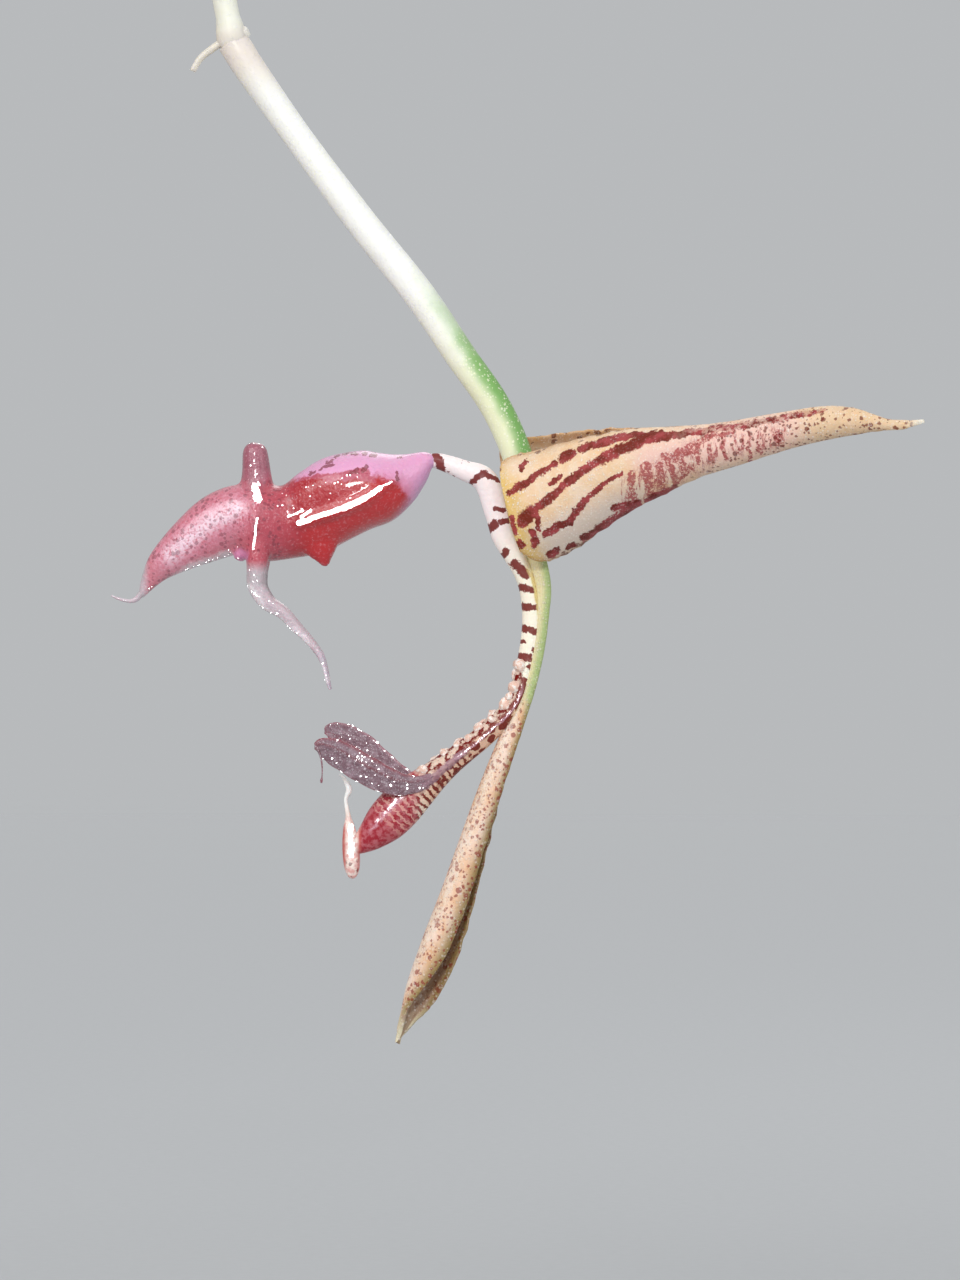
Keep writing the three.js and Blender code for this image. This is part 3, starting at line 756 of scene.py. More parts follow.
def blade_ring(frame, width, curl, thickness, strips, lift=lambda share: 0):
    """Points round a thin blade, bent through the angle curl, that thins out to its edges."""
    at, across, out = frame
    shares = strip_edges(strips)
    ring = []
    for side, row in ((0.5, shares), (-0.5, shares[-2:0:-1])):
        for share in row:
            half = side * thickness * math.sqrt(1 - abs(share) ** 7)
            reach = width / curl + lift(share) + half
            angle = share * curl / 2
            c, s = math.cos(angle), math.sin(angle)
            ring.append(at + across * (reach * s) + out * (reach * c - width / curl))
    return ring


def blade_shares(strips):
    shares = strip_edges(strips)
    return [*shares, *shares[-2:0:-1], shares[0]]


def leaf(bulb, azimuth, length, width, rising, falling):
    x, y, height, _, _ = BULBS[bulb]
    a = math.radians(azimuth)
    outward, sideways = Vector((math.cos(a), math.sin(a), 0)), Vector((-math.sin(a), math.cos(a), 0))
    parts = len(LEAF_OUTLINE) - 1
    dip = CAD_LEAF_THICKNESS * math.cos(math.radians(rising))
    at = Vector((x, y, BARK_TOP - BULB_SINK + height + LEAF_GAP + dip)) + outward * LEAF_SEAT
    stations = []
    for k, share in enumerate(LEAF_OUTLINE):
        stations.append((*at, share))
        slope = math.radians(rising + (falling - rising) * ((k + 0.5) / parts) ** 1.4)
        at = at + (outward * math.cos(slope) + Vector((0, 0, math.sin(slope)))) * length / parts
    fine = flowing(stations, LEAF_ROWS)
    foot = Vector(fine[0][:3]) - Vector((0, 0, 1.6))
    fine.insert(0, [*foot, fine[0][3] * 0.9])
    points = [Vector(station[:3]) for station in fine]
    rings, lengths = [], []
    for k, (frame, (*_, share)) in enumerate(zip(frames_along(points, sideways), fine)):
        share = max(share, 0.035)
        depth = PLEAT_DEPTH * min(1, 1.6 * share)
        place = max(0, k - 1) / LEAF_ROWS
        wave = MARGIN_WAVE * share * math.sin(26 * place + azimuth)

        def lift(across):
            return -depth / 2 * math.cos(PLEATS * math.pi * across) + wave * across**4

        channel = -0.5 - 0.9 * (1 - share)
        end = 0.35 if k in (0, len(fine) - 1) else 1
        thickness = LEAF_THICKNESS * end
        rings.append(blade_ring(rolled(frame, -90), width * share, channel, thickness, LEAF_STRIPS, lift))
        lengths.append(place)
    return skin(rings, lengths, blade_shares(LEAF_STRIPS))


tough_leaf = leaf_green()
for bulb, side, azimuth, length, width, rising, falling in LEAVES:
    mesh = leaf(bulb, azimuth, length, width, rising, falling)
    made(f"pleated_leaf_{bulb}_{side}", mesh, tough_leaf, "leaf", [f"leaf_{bulb}_{side}"])

# Flower spray
# One thin stem rises at the foot of the front bulb, leans over the rim and hangs down. It swells at each node
# that carries a bloom, where a small bract stands out behind. Papery scales clasp its rising part.

SPRAY_END = Vector((130, 0, 96))
SPRAY_RADII = (1.6, 0.75)  # at the root and at the end
ARCH_RADIUS = 75
END_LEAN = math.radians(10)
APEX_LEAN = math.radians(96)
SPRAY_LENGTH = 225
STEM_STEP = 0.8
RISING_ROWS = 90
NODE_SWELL = 0.25
NODE_REACH = 1.6
BRACT_LENGTH = 2.6
SHEATH_LENGTH = 9
SHEATHS = (0.2, 0.48, 0.76)  # shares of the way up the rising stem
BLOOMS = (  # along the spray from its end, azimuth, pitch, reach and drop of the stalk
    (0, 0, 0, 1, 1),
    (48, 180, 0, 1, 1),
    (70, -58, -4, 1.2, 0.9),
    (93, 78, -3, 1.15, 0.95),
    (110, -100, -2, 1.1, 1),
)

STEM_PALE = "f8f8ea"
STEM_GREEN = "8da45a"
STEM_DARK = "6d4a3c"
NODE_CREAM = "f1ecc4"
NODE_BEIGE = "f2e6d8"
FLECK_WHITE = "fbfbef"


def stem_skin():
    material, tree, shader = fleshy("stem_skin", 0.4, 0.15, (1, 1, 0.5))
    place = millimetres(tree)
    skin_map = map_of(tree)
    back = axis(skin_map, "X")
    long = clouds(place, scale=0.5, detail=4)
    body = mixed(rise(back, 6, 75), STEM_PALE, STEM_GREEN)
    body = mixed(times(rise(long, 0.45, 0.7), 0.3), body, NODE_CREAM)
    last_node = times(rise(back, 1.4, 0.2), 0.7)
    body = mixed(last_node, body, NODE_BEIGE)
    marks = specked(place, spacing=0.9, radius=0.36, ragged=0.5)
    marks = times(marks, rise(back, 30, 150))
    body = mixed(times(marks, 0.8), body, STEM_DARK)
    flecks = specked(place, spacing=0.35, radius=0.4, ragged=0.1)
    body = mixed(times(flecks, 0.35), body, FLECK_WHITE)
    relief = plus(times(long, 0.1), times(flecks, 0.015))
    gloss = ranging(long, 0.35, 0.55)
    feed(shader, {"Base Color": body, "Roughness": gloss, "Normal": bumped(relief)})
    return material


def level(degrees):
    return Vector((math.cos(math.radians(degrees)), math.sin(math.radians(degrees)), 0))


def arch_at(distance):
    """The point of the spray at this distance from its end."""
    lean = END_LEAN + distance / ARCH_RADIUS
    across = ARCH_RADIUS * (math.cos(lean) - math.cos(END_LEAN))
    return SPRAY_END + Vector((across, 0, ARCH_RADIUS * (math.sin(lean) - math.sin(END_LEAN))))


ARCH_LENGTH = ARCH_RADIUS * (APEX_LEAN - END_LEAN)
APEX = arch_at(ARCH_LENGTH)
RISING = (
    Vector(SPRAY_ROOT),
    Vector(SPRAY_ROOT) + Vector((0, 0, 46)),
    APEX + Vector((-math.sin(APEX_LEAN), 0, math.cos(APEX_LEAN))) * 17,
    APEX,
)


def rising_at(share):
    """The point of the rising stem at this share of the curve from its root to the highest point."""
    u = 1 - share
    weights = (u**3, 3 * u * u * share, 3 * u * share * share, share**3)
    return sum((point * weight for point, weight in zip(RISING, weights)), Vector())


def oval_ring(frame, half_across, half_out, sides, exponent=2):
    at, across, out = frame
    ring = []
    for k in range(sides):
        angle = 2 * math.pi * (k + 0.5) / sides
        c, s = math.cos(angle), math.sin(angle)
        wide = math.copysign(abs(c) ** (2 / exponent), c)
        deep = math.copysign(abs(s) ** (2 / exponent), s)
        ring.append(at + across * (half_across * wide) + out * (half_out * deep))
    return ring


def tube(points, halves, sides, facing=Vector((0, 1, 0)), exponent=2, start=0):
    """A stem through the points. Each half thickness is one number, or one in the plane and one across it."""
    frames = frames_along(points, facing)
    both = [half if isinstance(half, (tuple, list)) else (half, half) for half in halves]
    rings = [oval_ring(frame, *half, sides, exponent) for frame, half in zip(frames, both)]
    lengths = [start]
    for here, there in zip(points, points[1:]):
        lengths.append(lengths[-1] + (there - here).length)
    return skin(rings, lengths, even_shares(sides))


def drawn_tube(stations, steps, sides):
    """A stem through stations in the middle plane: x, z and half thickness."""
    fine = flowing(stations, steps)
    return tube([Vector((x, 0, z)) for x, z, _ in fine], [half for *_, half in fine], sides)


def joined(meshes):
    """One mesh that holds all of these."""
    whole = bmesh.new()
    for mesh in meshes:
        data = mesh_data("part", mesh)
        whole.from_mesh(data)
        bpy.data.meshes.remove(data)
    return whole


def shaft():
    arch = [arch_at(STEM_STEP * k) for k in range(int(ARCH_LENGTH / STEM_STEP) + 1)]
    rising = [rising_at(1 - k / RISING_ROWS) for k in range(1, RISING_ROWS + 1)]
    points = [arch_at(-0.9), arch_at(-0.6), arch_at(-0.3), *arch, *rising]
    halves, gone = [], -0.9
    for k, point in enumerate(points):
        gone += (point - points[k - 1]).length if k else 0
        share = min(1, max(0, gone) / SPRAY_LENGTH)
        swell = sum(NODE_SWELL * max(0, 1 - abs(gone - along) / NODE_REACH) ** 0.7 for along, *_ in BLOOMS)
        half = SPRAY_RADII[1] + (SPRAY_RADII[0] - SPRAY_RADII[1]) * share + swell
        halves.append(half * min(1, 0.35 + 0.65 * k / 3))
    return tube(points, halves, 18, start=-0.9)


def bract(along, azimuth):
    """A thin pointed scale that bends down behind its node."""
    away = level(azimuth + 180)
    outline = ((-0.1, -0.05, 1.15), (0.25, 0, 1.05), (0.5, 0.16, 0.85), (0.78, 0.4, 0.6), (0.95, 0.7, 0.3))
    fine = flowing(outline, 14)
    points = [arch_at(along) + (away * out - Vector((0, 0, drop))) * BRACT_LENGTH for out, drop, _ in fine]
    frames = frames_along(points, level(azimuth + 90))
    rings = [blade_ring(rolled(f, -90), width, -1.4, 0.4, 10) for f, (_, _, width) in zip(frames, fine)]
    return skin(rings, [along] * len(rings), blade_shares(10))


def resting_tip():
    """The rounded end of the stem, past its last node."""
    outline = ((0.2, 0.45, 0.5), (0.52, 0.48, 0.56), (0.82, 0.4, 0.45), (1.05, 0.32, 0.18))
    fine = flowing(outline, 12)
    return tube([SPRAY_END + Vector((x, 0, z)) for x, z, _ in fine], [half for *_, half in fine], 16)


def papery_scale(share):
    outline = ((-0.3, 2.6, 0.9), (0.15, 4, 1.25), (0.6, 3, 1.75), (0.9, 1.6, 2.2), (1.08, 0.35, 2.5))
    fine = flowing(outline, 20)
    along = (rising_at(share + 0.01) - rising_at(share - 0.01)).normalized()
    away = Vector((0, -1, 0))
    points = [rising_at(share) + along * part * SHEATH_LENGTH + away * stand for part, _, stand in fine]
    frames = frames_along(points, away)
    rings = [blade_ring(frame, width, 2.2, 0.3, 14) for frame, (_, width, _) in zip(frames, fine)]
    return skin(rings, [200] * len(rings), blade_shares(14))


stem = [shaft(), resting_tip()]
stem += [bract(along, azimuth) for along, azimuth, *_ in BLOOMS]
stem += [papery_scale(share) for share in SHEATHS]
pale_stem = stem_skin()
made("arching_stem", joined(stem), pale_stem, "stalk", ["flower_spray"])

# Bloom stalks
# Each bloom hangs on a long smooth stalk that grows out of a node. It is nearly white, and turns green along
# its outer side and a little ribbed where it becomes the ovary, between the sepals.

STALK_REACH = 17.4
STALK_DROP = 25.6
STALK_STATIONS = (  # x, z, half thickness
    (-13.2, 19.5, 0.9), (-9.4, 14.4, 0.97), (-5.8, 9.9, 0.99), (-3.3, 6.2, 0.97),
    (-1.35, 3.4, 0.96), (-0.2, 1.1, 0.95), (0.6, -1.2, 0.92), (1.35, -4, 0.78), (1.72, -6, 0.6),
)
OVARY_RIB = 0.03
STALK_ROWS = 90
STALK_SIDES = 24

STALK_WHITE = "fffff8"
STALK_CREAM = "edf0cc"
STALK_GREEN = "7fb361"
STALK_GRAIN = "fbfce4"
STALK_ROOT = "ecdcd0"


def stalk_skin():
    material, tree, shader = fleshy("stalk_skin", 0.45, 0.2, (1, 1, 0.5))
    place = millimetres(tree)
    height = axis(place, "Z")
    turn = axis(map_of(tree), "Y")
    outer = calc("COSINE", times(turn, 2 * math.pi))
    wander = clouds(place, scale=0.7, detail=3)
    shifted = minus(height, times(wander, 3))
    body = mixed(rise(shifted, 9, 1), STALK_WHITE, STALK_CREAM)
    reach = plus(outer, times(wander, 0.5))
    green = times(rise(reach, -0.25, 0.75), rise(shifted, 11, 2.5))
    body = mixed(green, body, STALK_GREEN)
    grains = specked(place, spacing=0.17, radius=0.5, ragged=0.1)
    near = rise(shifted, 9, 3)
    body = mixed(times(grains, near, 0.6), body, STALK_GRAIN)
    bare = rise(height, 21.5, 25)
    body = mixed(times(bare, 0.7), body, STALK_ROOT)
    relief = plus(times(grains, 0.01), times(wander, 0.08))
    gloss = ranging(wander, 0.28, 0.48)
    feed(shader, {"Base Color": body, "Roughness": gloss, "Normal": bumped(relief)})
    return material


def stalk(reach, drop):
    root = ((-STALK_REACH, STALK_DROP, 0.96), (-STALK_REACH + 0.4, STALK_DROP - 0.6, 1), (-16.1, 23.6, 0.98))
    fine = flowing([*root, *STALK_STATIONS], STALK_ROWS)
    points = [Vector((x * reach if x < 0 else x, 0, z * drop if z > 0 else z)) for x, z, _ in fine]
    frames = frames_along(points, Vector((0, 1, 0)))
    rings = []
    for k, (frame, (_, z, half)) in enumerate(zip(frames, fine)):
        middle = frame[0]
        ribbing = OVARY_RIB * max(0, min(1, (6 - z) / 5))
        end = 0.4 if k == STALK_ROWS else 1
        ring = oval_ring(frame, half * end, half * end, STALK_SIDES)
        ribs = [1 + ribbing * math.cos(6 * math.pi * j / STALK_SIDES) for j in range(STALK_SIDES)]
        rings.append([middle + (point - middle) * rib for point, rib in zip(ring, ribs)])
    return skin(rings, even_shares(STALK_ROWS), even_shares(STALK_SIDES))


def hung(along, azimuth, pitch, reach, drop):
    """Where the flower of a bloom is: its frame, in metres, from the node that it hangs on."""
    node_place = Matrix.Translation(arch_at(along) * MM)
    turn = Matrix.Rotation(math.radians(azimuth), 4, "Z") @ Matrix.Rotation(math.radians(pitch), 4, "Y")
    return node_place @ turn @ Matrix.Translation(Vector((STALK_REACH * reach, 0, -STALK_DROP * drop)) * MM)


white_stalk = stalk_skin()
PLACES = [hung(*bloom) for bloom in BLOOMS]
for number, (bloom, place) in enumerate(zip(BLOOMS, PLACES), 1):
    made(f"stalk_{number}", stalk(*bloom[3:]), white_stalk, "stalk", [f"bloom_{number}_stalk"], place)


def on_each_bloom(name, mesh, material, slot, node_name):
    """The same organ on every bloom. The first is made, and the others are copies of its finished mesh."""
    first = made(f"{name}_1", mesh, material, slot, [f"bloom_1_{node_name}"], PLACES[0])
    for number, place in enumerate(PLACES[1:], 2):
        shown(f"{name}_{number}", first.data.copy(), material, [f"bloom_{number}_{node_name}"], place)

# Lateral sepals
# Two broad fleshy blades, rolled back into half cones and spread away from the spray. They are tan and cream,
# yellow at the root, with ragged red-brown streaks that run together along the upper edge.

# Sections of the right sepal as the camera sees them: x and z of the upper and the lower edge, and the curl.
LATERAL_SECTIONS = (
    (-1.0, -1.1, 0.35, -6.3, 50), (-1.2, -0.45, 1.2, -6.95, 100), (-0.75, -0.1, 2.3, -6.85, 130),
    (0.99, 0.3, 3.9, -5.95, 148), (3.65, 0.95, 6.2, -4.3, 160), (6.5, 1.5, 8.6, -2.95, 180),
    (9.4, 1.66, 11, -1.72, 198), (12.6, 1.95, 13.8, -0.8, 210), (15.9, 2.5, 16.8, 0.22, 218),
    (18.9, 3, 19.5, 0.88, 215), (20.9, 2.97, 21.3, 1.2, 195), (22.3, 2.6, 22.6, 1.4, 160),
    (23.3, 2.32, 23.5, 1.42, 120), (24.4, 2.3, 24.5, 1.48, 90), (25.5, 2.16, 25.55, 2.02, 60),
)
SEPAL_THICKNESS = 0.5
LATERAL_SEAT = 3.4
LATERAL_SPREAD = math.tan(math.radians(18))
LATERAL_LIFTS = (1.3, 0.03)  # of the left sepal above the right one: at its root, and in each mm beyond 3
LATERAL_ROWS = 110
LATERAL_STRIPS = 26

# Each stroke: where it starts, where it ends and how wide it is, also as the camera sees them.
STREAKS = (
    ((-0.2, -2.4), (1.2, -1.5), 0.53), ((1.2, -1.5), (2.6, -0.5), 0.4),
    ((3.1, -0.2), (3.6, 0.1), 0.65), ((4.2, 0.4), (6.9, 1.15), 0.5), ((6.9, 1.15), (9.3, 1.4), 0.4),
    ((0.4, -0.9), (0.8, -0.4), 0.28), ((2.3, -1.8), (2.9, -1.4), 0.27),
    ((0.6, -4.1), (1.3, -3.5), 0.84), ((1.3, -3.5), (2.7, -2.3), 0.53),
    ((2.7, -2.3), (4.2, -1.1), 0.49), ((4.2, -1.1), (5.5, -0.3), 0.55),
    ((5.5, -0.3), (6.9, 0.4), 0.72), ((6.9, 0.4), (8.2, 0.9), 0.72), ((8.2, 0.9), (9.7, 1.15), 0.6),
    ((9.7, 1.15), (11.2, 1.4), 0.5), ((11.2, 1.4), (14.3, 1.85), 0.5),
    ((14.3, 1.85), (16.5, 2.25), 0.46), ((16.5, 2.25), (19.3, 2.75), 0.36),
    ((1.5, -3.6), (1.6, -4.6), 0.3), ((2.0, -4.9), (3.5, -4.1), 0.49),
    ((3.5, -4.1), (4.4, -2.9), 0.46), ((4.4, -2.9), (5.4, -2.0), 0.34),
    ((5.4, -2.0), (6.7, -1.1), 0.27), ((1.2, -4.8), (1.4, -5.5), 0.46),
    ((-0.1, -3.9), (0.15, -4.9), 0.3), ((0.4, -5.4), (0.6, -5.6), 0.3),
    ((2.3, -6.2), (2.8, -5.9), 0.46), ((3.4, -5.8), (3.8, -5.5), 0.24),
    ((4.3, -5.2), (5.3, -4.7), 0.4), ((5.4, -4.6), (6.9, -3.7), 0.65),
    ((6.9, -3.7), (7.8, -3.0), 0.6), ((8.4, -2.8), (10.1, -2.0), 0.46),
    ((6.3, -3.3), (7.1, -3.1), 0.5),
)
RIBS_ACROSS = (
    ((7.3, -1.3), (7.5, -2.9), 0.5), ((8.2, -0.7), (8.6, -2.5), 0.62),
    ((9.0, -0.6), (9.3, -1.9), 0.52), ((9.4, -0.1), (10.2, -0.3), 0.6),
    ((9.6, -0.3), (10.1, -1.7), 0.42), ((10.2, 0.1), (11.3, 0.5), 0.62),
    ((10.2, -0.3), (10.9, -0.8), 0.4), ((11.2, 0.5), (11.5, -0.5), 0.34),
    ((10.4, -1.5), (11.1, -0.8), 0.27), ((11.6, 0.9), (12.4, 1.2), 0.36),
    ((12.6, 1.1), (13.7, 1.4), 0.24), ((13.1, 0.2), (13.3, -0.3), 0.18),
    ((14.5, 0.4), (14.8, -0.3), 0.27), ((15.2, 0.6), (15.4, 0.1), 0.2),
)
RIB_FIELD = (((7.4, -2.2), (9.5, -1.1), 1.7), ((9.5, -1.1), (12.2, 0.3), 1.8), ((12.2, 0.3), (17, 1.2), 1.2))

SEPAL_CREAM = "f2d8bd"
SEPAL_GREY = "e2d2c6"
SEPAL_TAN = "efc698"
SEPAL_YELLOW = "e3be6a"
SEPAL_ROSE_HIGHLIGHT = "f2c9be"
SEPAL_OLIVE = "e2c19a"
STREAK_BROWN = "701006"
STREAK_PINK = "b4474f"
RIB_PINK = "a83a40"
MARGIN_TAN = "c58a4b"
FRECKLE_BROWN = "6b2e18"
SUGAR_WHITE_GLINT = "fffaf2"
GRAIN_CREAM = "fdf1e4"
GLAZE_PINK_GLINT = "ffe9e4"
TIP_CREAM = "f5efe0"

# A brush stroke in the side view: 1 within its width, with an edge that is sharp where Soft is near 0.
inputs = {"Place": "Vector", "From": "Vector", "To": "Vector", "Width": "Float", "Soft": "Float"}
stroke, entry, end = shared_effect("stroke", inputs, "Share")
offset = vector("SUBTRACT", entry["Place"], entry["From"])
run = vector("SUBTRACT", entry["To"], entry["From"])
done = node(stroke, "VectorMath", {0: offset, 1: run}, operation="DOT_PRODUCT").outputs["Value"]
whole = node(stroke, "VectorMath", {0: run, 1: run}, operation="DOT_PRODUCT").outputs["Value"]
share = node(stroke, "Clamp", {0: calc("DIVIDE", done, whole)}).outputs[0]
nearest = scaled(run, share)
apart = node(stroke, "VectorMath", {0: offset, 1: nearest}, operation="DISTANCE").outputs["Value"]
high = plus(0.49, entry["Soft"])
low = minus(0.49, entry["Soft"])
end(rise(calc("DIVIDE", apart, entry["Width"]), high, low))


def side_view(place, ragged):
    """The place seen from the side, shaken by noise so that strokes drawn there come out ragged."""
    shaken = place
    for scale, size in ((1.3, ragged), (3.6, ragged * 0.8), (9, ragged * 0.55)):
        shake = node(place.id_data, "TexNoise", {"Vector": place, "Scale": scale, "Detail": 1}).outputs[1]
        centred = vector("SUBTRACT", shake, (0.5, 0.5, 0.5))
        step = scaled(centred, size)
        shaken = vector("ADD", shaken, step)
    return vector("MULTIPLY", shaken, (1, 0, 1))


def strokes(side, drawn, seen=lambda x, z: (x, z), soft=0.08):
    """The share of every point that lies under one of the strokes."""
    total = None
    for start, stop, width in drawn:
        (x0, z0), (x1, z1) = seen(*start), seen(*stop)
        drawn_here = {"Place": side, "From": (x0, 0, z0), "To": (x1, 0, z1), "Width": width, "Soft": soft}
        mask = use(stroke, drawn_here)
        total = either(total, mask) if total else mask
    return total


def on_right_sepal(x, z):
    """The place on the sepal that the camera sees at this place in the flower's middle plane."""
    origin = PLACES[0].translation / MM
    nearer = (LATERAL_SEAT + x * LATERAL_SPREAD + EYE[1]) / EYE[1]
    return (
        EYE[0] + (origin.x + x - EYE[0]) * nearer - origin.x,
        EYE[2] + (origin.z + z - EYE[2]) * nearer - origin.z,
    )


def lateral_skin():
    material, tree, shader = fleshy("lateral_skin", 0.1, 0.12, (1.2, 0.6, 0.3))
    place = millimetres(tree)
    x, z = axis(place, "X"), axis(place, "Z")
    side = side_view(place, 0.36)
    cloud = patched(place, size=1.5, edge=0.25)
    body = mixed(cloud, SEPAL_CREAM, SEPAL_TAN)
    under = minus(z, times(x, 0.45))
    lower = times(rise(under, -4.2, -6.2), rise(x, 9, 7))
    body = mixed(times(lower, 0.85), body, SEPAL_GREY)
    # A pale rose strip along the middle, partly the sepal's own tone and partly painted highlight.
    rosy_highlight = strokes(side, (((8.5, -0.5), (16.5, 1.3), 2.4),), soft=0.4)
    body = mixed(times(rosy_highlight, 0.9), body, SEPAL_ROSE_HIGHLIGHT)
    root = plus(x, times(z, 0.42))
    root = minus(root, times(cloud, 0.5))
    body = mixed(times(rise(root, -0.2, -2), 0.9), body, SEPAL_YELLOW)
    body = mixed(times(rise(x, 15, 20), 0.6), body, SEPAL_OLIVE)
    turn = calc("ABSOLUTE", axis(map_of(tree), "Y"))
    body = mixed(times(rise(turn, 0.72, 0.98), 0.6), body, MARGIN_TAN)
    freckles = specked(place, spacing=0.55, radius=0.6, ragged=0.35)
    freckles = times(freckles, rise(turn, 0.68, 0.85))
    body = mixed(times(freckles, 0.8), body, FRECKLE_BROWN)
    grain = clouds(place, scale=6, detail=4, roughness=0.7)
    uneven = patched(place, size=0.8, edge=0.25)
    # White sugar grains, partly the sepal's own pale cells and partly painted glint.
    sugar_glints = specked(place, spacing=0.15, radius=0.5, ragged=0.06)
    sugar_glints = times(sugar_glints, uneven)
    body = mixed(times(sugar_glints, 0.6), body, SUGAR_WHITE_GLINT)
    body = mixed(times(rise(grain, 0.5, 0.75), 0.4), body, GRAIN_CREAM)
    long = vector("MULTIPLY", place, (3.4, 0.8, 0.8))
    rib_noise = clouds(long, scale=0.9, detail=4, roughness=0.7)
    field = strokes(side, RIB_FIELD, on_right_sepal, 0.3)
    fine_ribs = times(rise(rib_noise, 0.47, 0.57), field)
    ribs = either(strokes(side, RIBS_ACROSS, on_right_sepal), fine_ribs)
    broken = times(ribs, rise(grain, 0.36, 0.5))
    body = mixed(times(broken, 0.85), body, RIB_PINK)
    for spacing, radius in ((0.48, 0.36), (0.26, 0.46)):
        dots = specked(place, spacing=spacing, radius=radius, ragged=0.2)
        dots = times(dots, rise(x, 9, 13))
        body = mixed(times(dots, 0.75), body, STREAK_BROWN)
    pink = patched(place, size=0.9, edge=0.12)
    streaks = strokes(side, STREAKS, on_right_sepal)
    mottled = either(rise(x, 13, 9), patched(place, size=0.4, edge=0.08))
    streaks = times(streaks, ranging(mottled, 0.4, 1))
    streak_tone = mixed(times(pink, 0.75), STREAK_BROWN, STREAK_PINK)
    body = mixed(times(streaks, 0.96), body, streak_tone)
    # Painted glint: over the pink streaks the sugar grains are painted pink.
    glazed_glints = times(sugar_glints, ranging(pink, 0.1, 0.4))
    body = mixed(glazed_glints, body, GLAZE_PINK_GLINT)
    body = mixed(rise(x, 23.4, 24.9), body, TIP_CREAM)
    cross = node(tree, "TexWave", {"Vector": place, "Scale": 0.42, "Distortion": 2.5, "Detail": 2}).outputs[1]
    relief = plus(times(grain, 0.08), times(cross, 0.03))
    relief = plus(relief, times(sugar_glints, 0.03))
    gloss = ranging(grain, 0.3, 0.55)
    feed(shader, {"Base Color": body, "Roughness": gloss, "Normal": bumped(relief)})
    return material


def end_share(k, rows, least, over=5):
    """How thick a shape is at row k: least at its two ends, and whole from so many rows inwards."""
    return min(1, least + (1 - least) * min(k, rows - k) / over)


def lateral_sepal(side):
    fine = flowing(LATERAL_SECTIONS, LATERAL_ROWS)
    facing = Vector((-LATERAL_SPREAD, side, 0)).normalized()
    rings = []
    for k, (upper_x, upper_z, lower_x, lower_z, degrees) in enumerate(fine):
        (x0, z0), (x1, z1) = on_right_sepal(upper_x, upper_z), on_right_sepal(lower_x, lower_z)
        x = (x0 + x1) / 2
        lift_up = LATERAL_LIFTS[0] * max(0, 1 - x / 9) + LATERAL_LIFTS[1] * max(0, x - 3) if side > 0 else 0
        at = Vector((x, side * (LATERAL_SEAT + x * LATERAL_SPREAD), (z0 + z1) / 2 + lift_up))
        across = Vector((x0 - x1, 0, z0 - z1)).normalized()
        out = (facing - across * facing.dot(across)).normalized()
        curl = math.radians(degrees)
        height = math.hypot(x0 - x1, z0 - z1)
        radius = max(0.05, height - SEPAL_THICKNESS) / 2 / math.sin(min(curl / 2, math.pi / 2))
        thickness = SEPAL_THICKNESS * end_share(k, LATERAL_ROWS, 0.25)
        wave = min(1, height / 4)

        def lift(share):
            edge = 0.16 * share**6 * noise.noise(Vector((0.5 * k, math.copysign(5, share), 0)))
            return wave * (edge + 0.05 * noise.noise(Vector((0.12 * k, 4 * share, 7))))

        width = max(radius * curl, 0.2)
        rings.append(blade_ring((at, across, out), width, curl, thickness, LATERAL_STRIPS, lift))
    return skin(rings, even_shares(LATERAL_ROWS), blade_shares(LATERAL_STRIPS))


striped = lateral_skin()
for side, word in ((1, "left"), (-1, "right")):
    on_each_bloom(f"side_sepal_{word}", lateral_sepal(side), striped, "sepal", f"lateral_sepal_{word}")

# Dorsal sepals
# The middle sepal hangs behind the column. Its upper part is a narrow green keel against the column's back.
# Below it is free, tan with small maroon dots, with both edges rolled back until they nearly meet in a slit.
# A pale band down its middle is painted highlight, and the inside of the slit is painted shade.

DORSAL_STATIONS = (  # x, z, depth of the roll, curl in degrees
    (1.15, -5.6, 0.9, 120), (1.7, -8, 0.92, 130), (1.64, -10, 0.9, 130), (1.38, -12.2, 0.9, 130),
    (0.9, -14.4, 0.95, 140), (0.25, -16.4, 1.1, 165), (-0.45, -18.3, 1.4, 200),
    (-1.42, -21.1, 1.7, 250), (-2.45, -24.3, 1.98, 275), (-3.52, -27.7, 2.25, 285),
    (-4.6, -30.7, 2.4, 280), (-5.7, -33.2, 1.85, 235), (-6.5, -34.9, 0.85, 150),
    (-7.2, -36.5, 0.35, 60),
)
DORSAL_THICKNESS = 0.42
DORSAL_TWIST = (-35, 60)  # how far the slit is turned to the right side, at the root and at the tip
DORSAL_ROWS = 124
DORSAL_STRIPS = 22
INNER_MARK = 3  # added to the map's Y on the inner face

KEEL_GREEN = "a6b97a"
KEEL_CREAM = "eee3b4"
DORSAL_TAN = "ebbb94"
DORSAL_ROSE = "f8dccb"
DORSAL_EDGE = "9c8350"
DORSAL_HIGHLIGHT_CREAM = "fdeedd"
DORSAL_DOT = "8f2f24"
DORSAL_TIP = "e6ddc0"
DORSAL_INSIDE_SHADE = "73512f"
DORSAL_SUGAR_GLINT = "fff3e8"
KEEL_LINE = "b99560"
KEEL_GRAIN = "e4ecc4"


